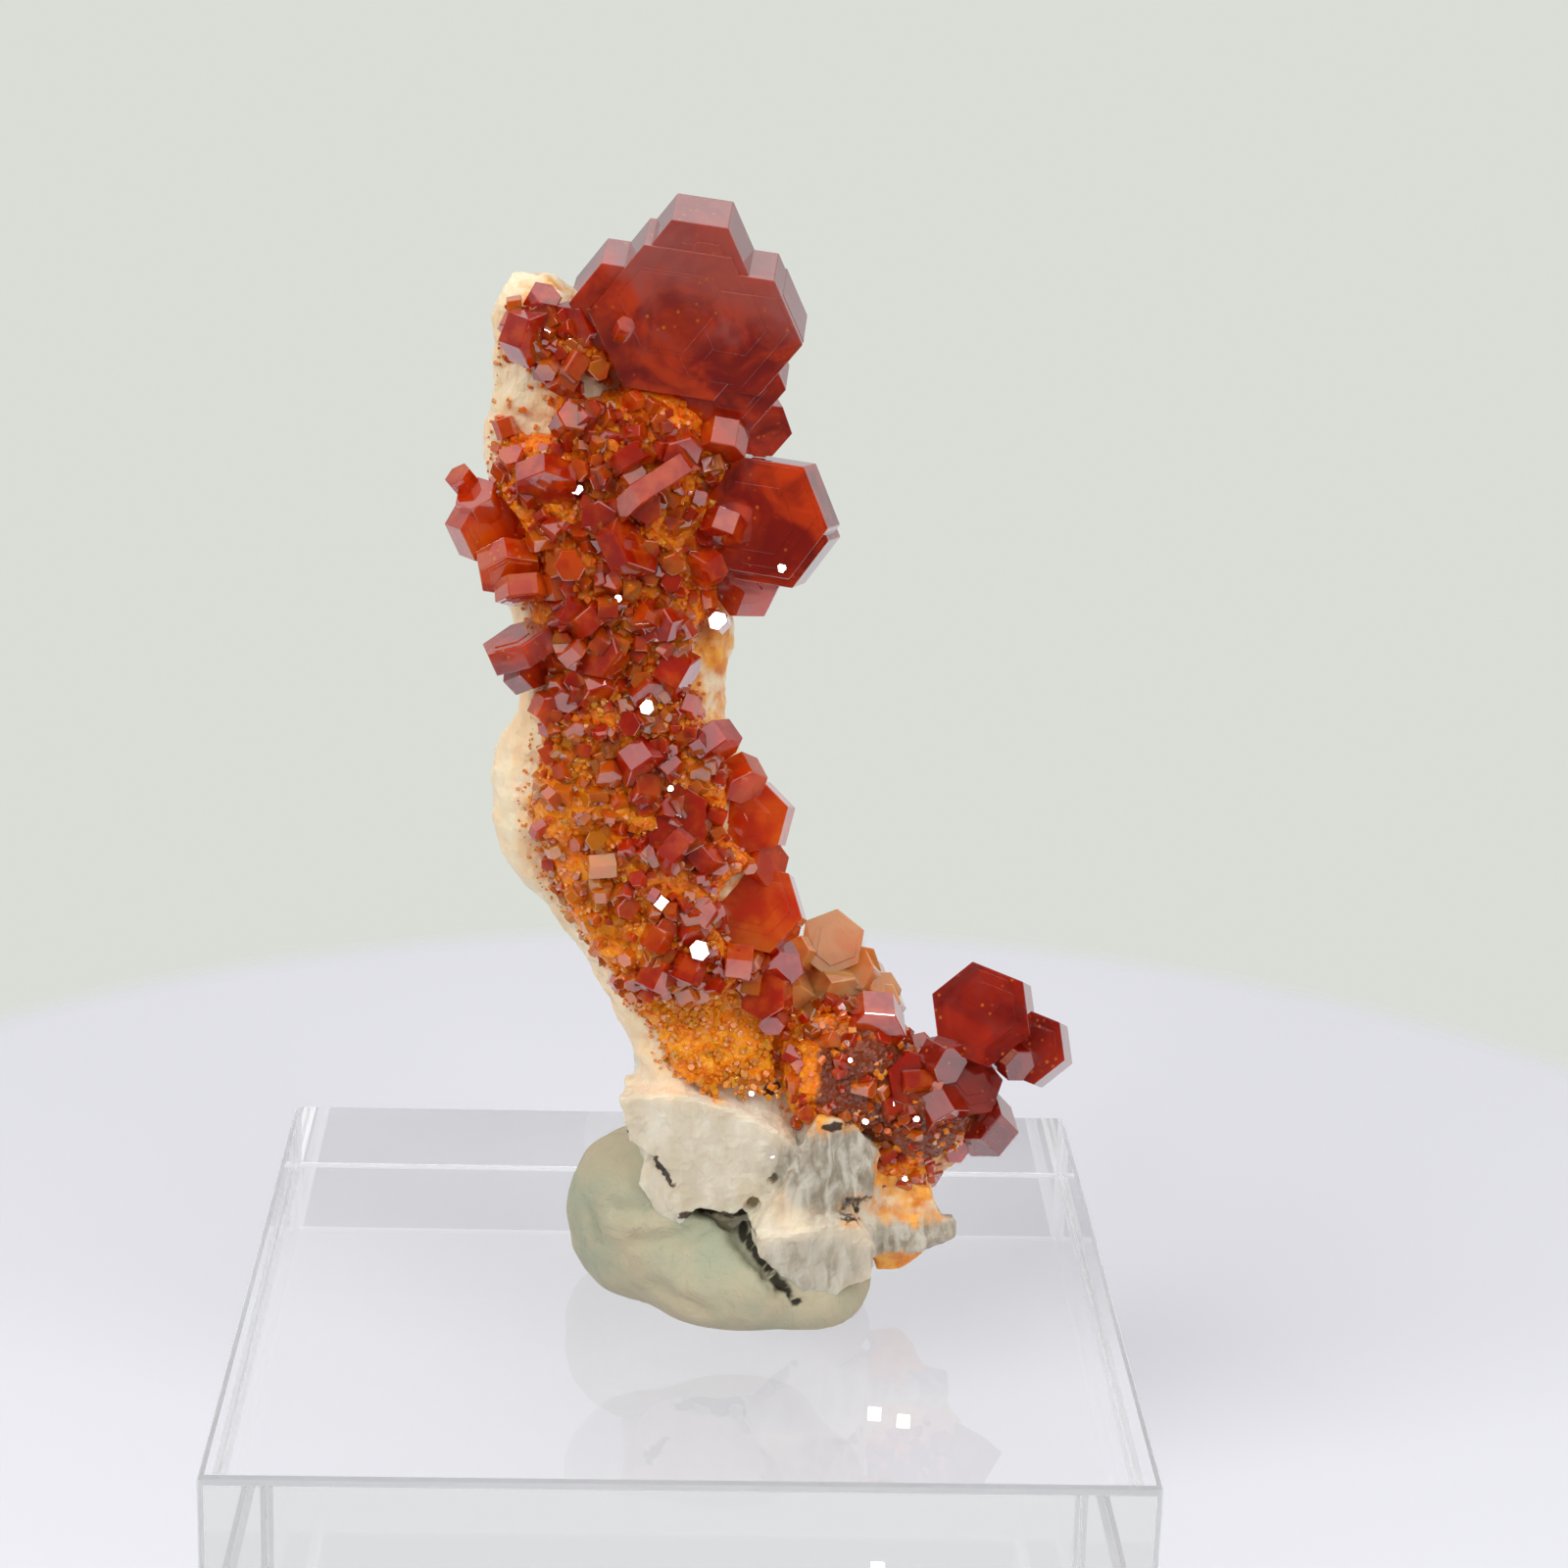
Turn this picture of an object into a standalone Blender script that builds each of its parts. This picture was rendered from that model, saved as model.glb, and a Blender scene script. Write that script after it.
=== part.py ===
"""Vanadinite on barite, held by mineral tack on a clear acrylic block.

Metres, +Z up. The origin is the middle of the block's underside, and the front view looks along +Y.
A bent blade of cream barite stands on the block.
Hexagonal vanadinite crystals coat its front and its short arm.
"""
import math
import random

import bmesh
import bpy
from mathutils import Matrix, Vector, noise

MM = 0.001

# The clear block
BASE_SIDE = 38 * MM
BASE_HEIGHT = 9.5 * MM
BASE_EDGE = 0.3 * MM

# Clearance between touching pieces
GAP = 0.3 * MM

# Faces that meet at less than this are one flat face
FLAT_ANGLE = math.radians(0.5)

# Barite blade: height, left edge, right edge, front, back, all in millimetres
BLADE = (
    (53.8, -8.0, -6.2, -0.9, 0.7),
    (52.6, -8.4, -4.2, -1.6, 1.5),
    (50.8, -8.6, -1.0, -2.0, 2.1),
    (48.6, -8.6, 1.0, -2.2, 2.4),
    (46.5, -8.6, 1.9, -2.2, 2.6),
    (44.3, -8.5, 1.8, -2.2, 2.7),
    (42.0, -8.3, 1.6, -2.3, 2.8),
    (39.8, -7.6, 1.2, -2.4, 2.8),
    (37.6, -6.7, 1.2, -2.4, 2.8),
    (35.4, -7.5, 1.6, -2.5, 3.0),
    (33.2, -8.5, 2.1, -2.6, 3.2),
    (31.0, -8.7, 2.8, -2.7, 3.3),
    (28.8, -7.9, 3.3, -2.7, 3.4),
    (26.6, -6.2, 3.3, -2.6, 3.4),
    (24.4, -4.5, 3.2, -2.5, 3.4),
    (22.2, -3.1, 3.6, -2.6, 3.6),
    (20.0, -2.4, 4.4, -2.9, 3.8),
    (17.5, -2.3, 5.6, -3.2, 4.0),
    (15.0, -1.8, 6.0, -3.2, 3.8),
    (13.0, -0.6, 5.4, -2.8, 3.2),
    (11.8, 0.6, 4.4, -2.0, 2.4),
)
BLADE_STEP = 1.6
BLADE_SIDES = 18
BLADE_SQUARENESS = 0.72
BLADE_ROUGHNESS = 0.55

# Lumps of the arm: centre and half sizes in millimetres
LUMP_DETAIL = 2
LUMP_ROUGHNESS = 0.14
ARM_LUMPS = (
    ((6.0, 0.4, 18.2), (3.6, 3.2, 3.9)),
    ((9.6, -0.2, 17.2), (2.9, 2.6, 2.7)),
    ((6.4, -1.0, 14.6), (3.4, 2.8, 2.4)),
)

# Broken plates at the foot: outline as x and z, then front face y, thickness, turn and lean in degrees
WHITE_PLATE = (
    (-2.7, 19.6), (-2.5, 17.6), (-1.4, 16.9), (-0.4, 16.1), (-0.7, 15.0), (0.0, 13.8),
    (0.7, 14.4), (2.0, 14.2), (3.3, 15.4), (4.8, 17.7), (3.2, 18.9), (0.0, 19.9),
)
PEACH_NUB = ((-1.9, 15.2), (-1.6, 16.4), (0.4, 16.0), (0.2, 13.6), (-0.6, 13.4))
GREY_PLATE = ((2.7, 14.1), (5.6, 18.7), (7.2, 18.2), (8.2, 16.8), (7.8, 15.0), (4.6, 14.3))
LOWER_PLATE = (
    (2.7, 14.4), (3.6, 13.2), (4.9, 12.2), (5.6, 11.4), (6.8, 12.0), (7.8, 12.1), (8.0, 13.6), (7.0, 14.9),
)
RIGHT_PLATE = ((7.4, 12.6), (9.4, 12.6), (11.6, 13.2), (11.7, 14.4), (9.6, 14.2), (7.6, 14.0))
PLATES = (
    (WHITE_PLATE, -4.0, 2.6, -6, 4),
    (PEACH_NUB, -3.5, 2.4, -10, 0),
    (GREY_PLATE, -4.5, 2.6, 12, -14),
    (LOWER_PLATE, -4.9, 3.6, 8, 6),
    (RIGHT_PLATE, -3.6, 3.0, 0, -8),
)

# Broken slabs on the blade's back: centre, size, then lean and roll in degrees
BACK_SLABS = (
    ((-4.8, 1.7, 49.0), (6.0, 2.0, 6.4), 8, 10),
    ((-2.2, 2.0, 45.4), (6.0, 2.2, 6.0), -6, -14),
    ((-4.6, 2.1, 42.0), (5.8, 2.2, 6.2), 7, 14),
    ((-2.6, 2.3, 38.4), (5.6, 2.2, 6.0), -7, -8),
    ((-3.9, 2.6, 34.4), (6.0, 2.2, 6.4), 8, 12),
    ((-2.0, 2.8, 30.8), (7.0, 2.2, 6.2), -7, -16),
    ((-2.0, 2.7, 27.2), (5.4, 2.2, 5.6), 6, 18),
    ((0.4, 2.8, 23.2), (5.0, 2.4, 5.6), -6, -10),
)
SLAB_EDGE = 0.35 * MM

# Mineral tack: centre and half sizes in millimetres
TACK_LUMPS = (
    ((2.6, -1.2, 11.1), (5.4, 5.2, 2.8)),
    ((-1.2, 0.6, 12.7), (4.1, 4.1, 4.3)),
    ((5.2, -2.6, 10.5), (3.1, 3.2, 2.2)),
    ((2.6, 2.6, 12.0), (4.6, 3.4, 3.4)),
)
TACK_GRAIN = 1.15 * MM
TACK_ROUGHNESS = 0.06

# Directions shared by crystals that grew parallel: turn to the right, tip upward, spin about the axis
CROWN_SET = (-5, -14, -7)
SHOULDER_SET = (-16, 8, -4)
ARM_SET = (-19, 25, -14)

# Groups of large crystals that stand free: centre x, y, z, corner radius and length in millimetres,
# then turn, tip and spin in degrees
CRYSTALS = {
    "crown_crystals": (
        (-0.3, -3.1, 55.2, 2.2, 2.8, *CROWN_SET),
        (-3.1, -2.3, 53.3, 2.2, 2.6, *CROWN_SET),
        (1.9, -2.4, 52.5, 2.2, 2.6, *CROWN_SET),
        (-0.9, -2.6, 52.9, 3.6, 2.8, *CROWN_SET),
        (1.2, -2.7, 52.6, 2.9, 2.8, *CROWN_SET),
        (1.1, -1.8, 50.5, 2.4, 2.4, *CROWN_SET),
        (-3.2, -3.9, 52.3, 0.4, 0.9, 26, 43, -28),
        (2.2, -0.6, 48.2, 1.3, 2.4, 14, -14, -7),
        (0.9, -2.7, 47.7, 1.0, 1.2, -14, -52, -14),
    ),
    "shoulder_crystals": (
        (2.9, -1.9, 44.4, 2.7, 2.2, *SHOULDER_SET),
        (3.2, -1.3, 43.7, 2.5, 2.2, *SHOULDER_SET),
        (2.1, -1.4, 41.6, 1.5, 1.6, -16, -12, 5),
    ),
    "flank_crystals": (
        (-8.7, -1.9, 43.7, 1.5, 1.5, 29, 3, -5),
        (-9.4, -1.8, 45.3, 0.6, 1.7, -55, 49, -16),
        (-8.9, -2.3, 44.8, 0.9, 1.2, -36, 52, -7),
        (-7.7, -2.8, 42.3, 1.4, 1.0, 14, -40, -17),
        (-7.1, -3.0, 41.4, 1.2, 0.9, 14, -63, 12),
    ),
    "left_tablet_crystals": (
        (-7.2, -3.0, 39.0, 1.6, 1.0, -77, 66, -3),
        (-7.0, -2.5, 37.7, 0.8, 1.2, 44, 25, 5),
    ),
    "right_edge_crystals": (
        (2.0, -1.9, 33.2, 1.0, 1.2, 26, -30, 29),
        (2.7, -1.4, 31.3, 1.6, 1.4, -16, 19, 21),
        (2.9, -1.9, 27.4, 2.0, 1.6, -11, 24, -8),
        (3.0, -1.7, 29.4, 1.0, 1.2, 40, 10, 5),
        (4.0, -2.4, 26.9, 0.6, 1.0, 27, -28, -26),
    ),
    "arm_back_crystals": (
        (6.3, 1.8, 24.4, 1.5, 2.4, -6, 30, 24),
        (7.2, 1.4, 23.7, 1.0, 2.0, 12, 20, -14),
        (8.0, 0.8, 22.6, 0.9, 2.0, 43, 30, -14),
    ),
    "arm_crystals": (
        (12.8, -1.0, 22.4, 2.3, 1.8, *ARM_SET),
        (14.9, -1.1, 21.0, 1.7, 1.9, *ARM_SET),
        (14.0, -2.5, 20.9, 0.8, 0.9, 28, -8, -11),
        (10.9, -2.2, 20.8, 1.0, 1.2, 38, -5, -4),
        (10.9, -2.8, 18.7, 1.1, 1.3, 34, -37, -21),
        (12.9, -1.2, 17.5, 1.4, 1.7, -47, 44, 19),
        (12.0, -1.3, 19.2, 1.5, 2.0, 10, 30, 5),
    ),
}
EDGE_OF_FIT = 0.34 * MM

# Druse of small crystals on the blade: height, bare margin at the left and at the right in millimetres
DRUSE_MARGINS = (
    (52.9, 0.8, 0.6),
    (51.0, 0.6, 0.5),
    (45.0, 0.3, 0.3),
    (40.4, 0.5, 0.6),
    (38.6, 0.8, 1.8),
    (36.4, 0.8, 1.2),
    (34.0, 1.7, 0.4),
    (30.0, 2.0, 0.3),
    (26.6, 1.3, 0.3),
    (23.6, 1.3, 0.3),
    (20.2, 1.9, 0.4),
)
DRUSE_STEP = 2.0
DRUSE_COLUMNS = 7
DRUSE_GAP = 0.45 * MM
DRUSE_THICKNESS = 0.7 * MM
SMALL_CRYSTALS = 40
SMALL_RADIUS = (0.45, 0.85)
SMALL_LENGTH = (0.9, 1.5)

# Medium crystals fused to the druse, in the same order of values as the large ones
MEDIUM_CRYSTALS = (
    (-6.5, -2.4, 53.0, 0.7, 1.2, 38, 50, -19),
    (-6.9, -2.9, 51.8, 1.2, 1.2, 49, -8, 10),
    (-5.1, -2.6, 52.1, 1.1, 1.3, -31, -3, -2),
    (-6.0, -2.6, 50.8, 1.0, 1.2, 2, -19, -22),
    (-5.6, -3.2, 50.2, 0.7, 0.9, -60, 30, -29),
    (-4.9, -3.0, 48.2, 1.1, 1.2, 39, -29, -13),
    (-3.8, -2.9, 47.4, 1.0, 1.1, 12, -16, -17),
    (-2.8, -3.4, 47.0, 1.0, 0.8, 56, -52, -5),
    (-6.2, -3.4, 45.9, 1.4, 1.0, 4, -39, -27),
    (-1.7, -3.0, 45.7, 2.3, 0.9, 61, -49, -12),
    (-2.8, -3.5, 43.6, 1.6, 1.0, 58, 29, -26),
    (1.0, -3.4, 44.3, 0.9, 1.0, -30, -52, 30),
    (-5.3, -3.3, 40.6, 0.9, 0.9, -74, 32, -25),
    (-4.5, -3.6, 40.4, 0.9, 0.9, -87, 50, -21),
    (-3.9, -3.3, 38.9, 1.2, 1.2, -35, 18, 1),
    (-0.8, -3.1, 38.0, 1.1, 1.2, 66, -22, 6),
    (-2.0, -3.3, 37.2, 0.9, 1.0, 20, -19, -13),
    (0.8, -2.7, 34.9, 1.1, 1.1, 45, -39, -13),
    (-2.2, -3.6, 34.3, 1.1, 1.1, 41, -35, -16),
    (-1.0, -3.2, 31.7, 1.9, 1.2, -13, 17, -26),
    (-0.6, -3.9, 30.6, 1.1, 0.9, 59, -30, -2),
    (0.6, -3.6, 30.4, 0.9, 0.9, 72, 45, 28),
    (3.3, -2.6, 23.8, 1.1, 1.2, -23, 19, -20),
    (3.6, -2.8, 22.8, 0.6, 1.0, -8, -19, 5),
    (3.9, -1.9, 25.0, 0.9, 1.4, 13, -6, -14),
    (8.0, -1.5, 22.2, 1.3, 1.6, 1, -17, -5),
    (9.5, -2.3, 19.9, 1.3, 1.5, 19, 21, -25),
    (11.5, -1.6, 16.6, 0.6, 1.4, 23, -5, -9),
)

# Crust over the arm: centre and half sizes in millimetres
ARM_DRUSE_LUMPS = (
    ((6.6, -0.4, 19.6), (3.4, 3.2, 3.2)),
    ((9.9, -0.6, 18.2), (2.9, 2.8, 2.6)),
)
ARM_SMALL_CRYSTALS = 12

PARTS = bpy.data.collections.new("vanadinite_on_barite")
CUTTERS = bpy.data.collections.new("cutters")


def clear_scene():
    """Empties the scene and adds the two collections."""
    for old in list(bpy.data.objects):
        bpy.data.objects.remove(old)
    for collection in (PARTS, CUTTERS):
        bpy.context.scene.collection.children.link(collection)


def material(name, colour, roughness, transmission=0.0, ior=1.5):
    """Returns a Principled material."""
    made = bpy.data.materials.new(name)
    made.use_nodes = True
    shader = made.node_tree.nodes["Principled BSDF"]
    shader.inputs["Base Color"].default_value = (*colour, 1.0)
    shader.inputs["Roughness"].default_value = roughness
    shader.inputs["Metallic"].default_value = 0.0
    shader.inputs["Transmission Weight"].default_value = transmission
    shader.inputs["IOR"].default_value = ior
    made.diffuse_color = (*colour, 1.0)
    return made


def object_from(shape, name, collection=CUTTERS):
    """Makes an object from a bmesh, which it frees."""
    mesh = bpy.data.meshes.new(name)
    shape.to_mesh(mesh)
    shape.free()
    made = bpy.data.objects.new(name, mesh)
    collection.objects.link(made)
    if collection is CUTTERS:
        made.hide_render = True
        made.display_type = "WIRE"
    return made


def settle(made):
    """Turns an object's modifiers into its mesh."""
    graph = bpy.context.evaluated_depsgraph_get()
    mesh = bpy.data.meshes.new_from_object(made.evaluated_get(graph))
    made.modifiers.clear()
    made.data = mesh


def combine(made, other, operation, solver="EXACT", keep=False):
    """Unites an object with another one, or cuts it, and removes the other unless it is kept."""
    step = made.modifiers.new(operation.title(), "BOOLEAN")
    step.operation = operation
    step.solver = solver
    step.object = other
    settle(made)
    if not keep:
        bpy.data.objects.remove(other)


def united(objects, name, solver="EXACT"):
    """Unites objects that overlap into one solid."""
    first, *others = objects
    for other in others:
        combine(first, other, "UNION", solver)
    first.name = name
    return first


def tidy_body(made):
    """Drops crumbs beside the main body, and points that lie within flat faces or straight edges."""
    shape = bmesh.new()
    shape.from_mesh(made.data)
    left = set(shape.verts)
    bodies = []
    while left:
        body = {left.pop()}
        edge = list(body)
        while edge:
            near = {e.other_vert(v) for v in edge for e in v.link_edges} - body
            body |= near
            edge = list(near)
        left -= body
        bodies.append(body)
    main = max(bodies, key=len)
    bmesh.ops.delete(shape, geom=[v for v in shape.verts if v not in main], context="VERTS")
    bmesh.ops.dissolve_limit(shape, angle_limit=FLAT_ANGLE, verts=shape.verts, edges=shape.edges)
    shape.to_mesh(made.data)
    shape.free()


def finish(made, name, surface):
    """Names a finished piece, gives it its material and moves it among the parts."""
    tidy_body(made)
    made.name = name
    made.data.name = name
    made.data.materials.clear()
    made.data.materials.append(surface)
    CUTTERS.objects.unlink(made)
    PARTS.objects.link(made)
    made.hide_render = False
    made.display_type = "TEXTURED"
    return made


def between(table, height):
    """Reads a table of rows that start with a height, top first, at any height."""
    for upper, lower in zip(table, table[1:]):
        if height >= lower[0]:
            share = min(1.0, (upper[0] - height) / (upper[0] - lower[0]))
            return [a + (b - a) * share for a, b in zip(upper[1:], lower[1:])]
    return list(table[-1][1:])


def blade_point(height, angle, lift=0.0):
    """Returns a point of the blade's rough surface, in metres; the front is at 270 degrees."""
    left, right, front, back = between(BLADE, height)
    cosine, sine = math.cos(angle), math.sin(angle)
    half_x, half_y = (right - left) / 2, (back - front) / 2
    x = (left + right) / 2 + half_x * math.copysign(abs(cosine) ** BLADE_SQUARENESS, cosine)
    y = (front + back) / 2 + half_y * math.copysign(abs(sine) ** BLADE_SQUARENESS, sine)
    outward = Vector((cosine / half_x, sine / half_y, 0)).normalized()
    rough = noise.noise(Vector((x, y, height)) * 0.33) + 0.5 * noise.noise(Vector((x, y, height * 1.6)) * 0.9)
    return (Vector((x, y, height)) + outward * (BLADE_ROUGHNESS * rough + lift)) * MM


def steps(top, bottom, size):
    """Returns heights from top to bottom, evenly spaced at about the given size."""
    count = round((top - bottom) / size)
    return [top + (bottom - top) * i / count for i in range(count + 1)]


def grid(shape, rows, closed):
    """Joins rows of vertices with quads."""
    for upper, lower in zip(rows, rows[1:]):
        count = len(upper) if closed else len(upper) - 1
        for i in range(count):
            j = (i + 1) % len(upper)
            shape.faces.new((upper[i], upper[j], lower[j], lower[i]))


def blade():
    """Lofts the barite blade through its sections."""
    shape = bmesh.new()
    angles = [2 * math.pi * i / BLADE_SIDES for i in range(BLADE_SIDES)]
    rows = [
        [shape.verts.new(blade_point(height, angle)) for angle in angles]
        for height in steps(BLADE[0][0], BLADE[-1][0], BLADE_STEP)
    ]
    grid(shape, rows, closed=True)
    shape.faces.new(rows[0])
    shape.faces.new(rows[-1])
    bmesh.ops.recalc_face_normals(shape, faces=shape.faces)
    return object_from(shape, "blade")


def lump(centre, half_sizes, seed, roughness=LUMP_ROUGHNESS):
    """Makes a rough rounded lump."""
    shape = bmesh.new()
    bmesh.ops.create_icosphere(shape, subdivisions=LUMP_DETAIL, radius=1.0)
    for vertex in shape.verts:
        vertex.co *= 1 + roughness * noise.noise(vertex.co * 1.7 + Vector((seed, 3.1, 5.7)))
    size = Matrix.Diagonal((*half_sizes, 1.0))
    place = Matrix.Scale(MM, 4) @ Matrix.Translation(centre) @ size
    bmesh.ops.transform(shape, matrix=place, verts=shape.verts)
    return object_from(shape, "lump")


def plate(outline, front, thickness, turn, lean):
    """Makes a broken plate from its outline, which faces the front."""
    middle = sum((Vector((x, z)) for x, z in outline), Vector((0, 0))) / len(outline)
    curve = bpy.data.curves.new("plate", "CURVE")
    curve.dimensions = "2D"
    curve.fill_mode = "BOTH"
    curve.extrude = thickness / 2
    line = curve.splines.new("POLY")
    line.points.add(len(outline) - 1)
    for point, (x, z) in zip(line.points, outline):
        point.co = (x - middle.x, z - middle.y, 0, 1)
    line.use_cyclic_u = True
    drawn = bpy.data.objects.new("plate", curve)
    CUTTERS.objects.link(drawn)
    graph = bpy.context.evaluated_depsgraph_get()
    graph.update()
    flat = bpy.data.meshes.new_from_object(drawn.evaluated_get(graph))
    bpy.data.objects.remove(drawn)
    shape = bmesh.new()
    shape.from_mesh(flat)
    bmesh.ops.remove_doubles(shape, verts=shape.verts, dist=0.0001)
    stand = Matrix.Rotation(math.radians(90), 4, "X")
    tilt = Matrix.Rotation(math.radians(turn), 4, "Z") @ Matrix.Rotation(math.radians(lean), 4, "X")
    centre = Vector((middle.x, front + thickness / 2, middle.y))
    place = Matrix.Scale(MM, 4) @ Matrix.Translation(centre) @ tilt @ stand
    bmesh.ops.transform(shape, matrix=place, verts=shape.verts)
    bmesh.ops.recalc_face_normals(shape, faces=shape.faces)
    return object_from(shape, "plate")


def slab(centre, size, lean, roll):
    """Makes a broken slab with chipped edges."""
    shape = bmesh.new()
    bmesh.ops.create_cube(shape, size=1.0)
    tilt = Matrix.Rotation(math.radians(lean), 4, "X") @ Matrix.Rotation(math.radians(roll), 4, "Y")
    place = Matrix.Scale(MM, 4) @ Matrix.Translation(centre) @ tilt @ Matrix.Diagonal((*size, 1.0))
    bmesh.ops.transform(shape, matrix=place, verts=shape.verts)
    made = object_from(shape, "slab")
    chip = made.modifiers.new("Chip", "BEVEL")
    chip.width = SLAB_EDGE
    chip.segments = 1
    settle(made)
    return made


def matrix_pieces():
    """Makes the overlapping shapes that the barite is united from."""
    lumps = [lump(centre, sizes, seed) for seed, (centre, sizes) in enumerate(ARM_LUMPS)]
    plates = [plate(*row) for row in PLATES]
    slabs = [slab(*row) for row in BACK_SLABS]
    return [blade(), *lumps, *plates, *slabs]


def grown(made, distance):
    """Pushes an object's surface outward along its normals."""
    swell = made.modifiers.new("Swell", "DISPLACE")
    swell.strength = distance
    swell.mid_level = 0.0
    settle(made)
    return made


def matrix_clearance():
    """Makes the cutter that keeps other pieces clear of the barite."""
    return united([grown(piece, GAP) for piece in matrix_pieces()], "matrix_clearance", "MANIFOLD")


def barite_matrix(surface):
    """Unites the barite's blade, arm, foot plates and back slabs."""
    return finish(united(matrix_pieces(), "barite", "MANIFOLD"), "barite_matrix", surface)


def crystal(x, y, z, radius, length, turn, tip, spin):
    """Makes a hexagonal prism; at zero angles its axis points at the viewer and one corner points right."""
    turned, tipped, spun = (math.radians(angle) for angle in (turn, tip, spin))
    flat = math.cos(tipped)
    axis = Vector((math.sin(turned) * flat, -math.cos(turned) * flat, math.sin(tipped)))
    level = Vector((math.cos(turned), math.sin(turned), 0))
    corner = math.cos(spun) * level + math.sin(spun) * axis.cross(level)
    shape = bmesh.new()
    bmesh.ops.create_cone(shape, cap_ends=True, segments=6, radius1=radius, radius2=radius, depth=length)
    turnaround = Matrix((corner.cross(axis), corner, axis)).transposed().to_4x4()
    place = Matrix.Scale(MM, 4) @ Matrix.Translation((x, y, z)) @ turnaround
    bmesh.ops.transform(shape, matrix=place, verts=shape.verts)
    return object_from(shape, "crystal")


def sockets(clusters):
    """Makes the cutter that keeps other pieces clear of the large crystals of some clusters."""
    made = []
    fit = EDGE_OF_FIT / MM
    for cluster in clusters:
        for x, y, z, radius, length, *angles in CRYSTALS[cluster]:
            made.append(crystal(x, y, z, radius + fit / math.cos(math.pi / 6), length + 2 * fit, *angles))
    return united(made, "sockets", "MANIFOLD")


def crystal_cluster(name, earlier, clearance, surface):
    """Unites one group of large crystals and clears it from the barite and from the groups made earlier."""
    cluster = united([crystal(*row) for row in CRYSTALS[name]], name)
    if earlier:
        combine(cluster, sockets(earlier), "DIFFERENCE")
    combine(cluster, clearance, "DIFFERENCE", keep=True)
    return finish(cluster, name, surface)


def druse_angle(height, share):
    """Returns the angle on the blade's front at a share of the way across the druse."""
    left, right = between(BLADE, height)[:2]
    margin_left, margin_right = between(DRUSE_MARGINS, height)
    half = (right - left) / 2
    x = -half + margin_left + (2 * half - margin_left - margin_right) * share
    cosine = math.copysign(min(1.0, abs(x / half)) ** (1 / BLADE_SQUARENESS), x)
    return 2 * math.pi - math.acos(cosine)


def druse_sheet():
    """Makes the crust that the small crystals of the blade stand on."""
    shape = bmesh.new()
    lift = (DRUSE_GAP + DRUSE_THICKNESS / 2) / MM
    rows = []
    for height in steps(DRUSE_MARGINS[0][0], DRUSE_MARGINS[-1][0], DRUSE_STEP):
        shares = [column / (DRUSE_COLUMNS - 1) for column in range(DRUSE_COLUMNS)]
        rows.append([shape.verts.new(blade_point(height, druse_angle(height, s), lift)) for s in shares])
    grid(shape, rows, closed=False)
    made = object_from(shape, "druse_sheet")
    crust = made.modifiers.new("Crust", "SOLIDIFY")
    crust.thickness = DRUSE_THICKNESS
    crust.offset = 0.0
    settle(made)
    return made


def small_crystal(draw, place):
    """Makes one small crystal of the druse at a place given in millimetres."""
    radius = draw.uniform(*SMALL_RADIUS)
    length = draw.uniform(*SMALL_LENGTH)
    turn, tip, spin = draw.uniform(-70, 70), draw.uniform(-55, 55), draw.uniform(-30, 30)
    return crystal(*place, radius, length, turn, tip, spin)


def blade_places(draw):
    """Returns places of small crystals all over the blade's druse, in millimetres."""
    top, bottom = DRUSE_MARGINS[0][0] - 0.6, DRUSE_MARGINS[-1][0] + 0.6
    lift = (DRUSE_GAP + DRUSE_THICKNESS) / MM
    places = []
    for index in range(SMALL_CRYSTALS):
        height = top + (bottom - top) * (index + draw.random()) / SMALL_CRYSTALS
        places.append(blade_point(height, druse_angle(height, draw.uniform(0.04, 0.96)), lift) / MM)
    return places


def arm_places(draw):
    """Returns places of small crystals over the arm's crust, in millimetres."""
    places = []
    for index in range(ARM_SMALL_CRYSTALS):
        centre, half_sizes = ARM_DRUSE_LUMPS[index % len(ARM_DRUSE_LUMPS)]
        across, up = math.radians(draw.uniform(-80, 80)), math.radians(draw.uniform(-5, 80))
        outward = Vector((math.sin(across) * math.cos(up), -math.cos(across) * math.cos(up), math.sin(up)))
        places.append(Vector(centre) + Vector(half_sizes) * outward)
    return places


def vanadinite_druse(clearance, surface):
    """Unites the crust with its crystals, and seats the groups of large crystals in it."""
    draw = random.Random(7)
    lumps = [lump(centre, sizes, seed + 5.0) for seed, (centre, sizes) in enumerate(ARM_DRUSE_LUMPS)]
    medium = [crystal(*row) for row in MEDIUM_CRYSTALS]
    small = [small_crystal(draw, place) for place in blade_places(draw) + arm_places(draw)]
    made = united([druse_sheet(), *lumps, *medium, *small], "druse", "MANIFOLD")
    combine(made, sockets(CRYSTALS), "DIFFERENCE", "MANIFOLD")
    combine(made, clearance, "DIFFERENCE", "MANIFOLD", keep=True)
    return finish(made, "vanadinite_druse", surface)


def mineral_tack(clearance, surface):
    """Blends the tack's lumps, flattens it on the block and presses the barite into it."""
    lumps = [lump(centre, sizes, seed, TACK_ROUGHNESS) for seed, (centre, sizes) in enumerate(TACK_LUMPS)]
    made = united(lumps, "tack")
    blend = made.modifiers.new("Blend", "REMESH")
    blend.mode = "VOXEL"
    blend.voxel_size = TACK_GRAIN
    soft = made.modifiers.new("Soft", "SMOOTH")
    soft.iterations = 4
    settle(made)
    below = bmesh.new()
    bmesh.ops.create_cube(below, size=1.0)
    size = Matrix.Diagonal((BASE_SIDE, BASE_SIDE, BASE_HEIGHT, 1.0))
    place = Matrix.Translation((0, 0, BASE_HEIGHT / 2 + GAP)) @ size
    bmesh.ops.transform(below, matrix=place, verts=below.verts)
    combine(made, object_from(below, "block_top"), "DIFFERENCE")
    combine(made, clearance, "DIFFERENCE", keep=True)
    return finish(made, "mineral_tack", surface)


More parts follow.
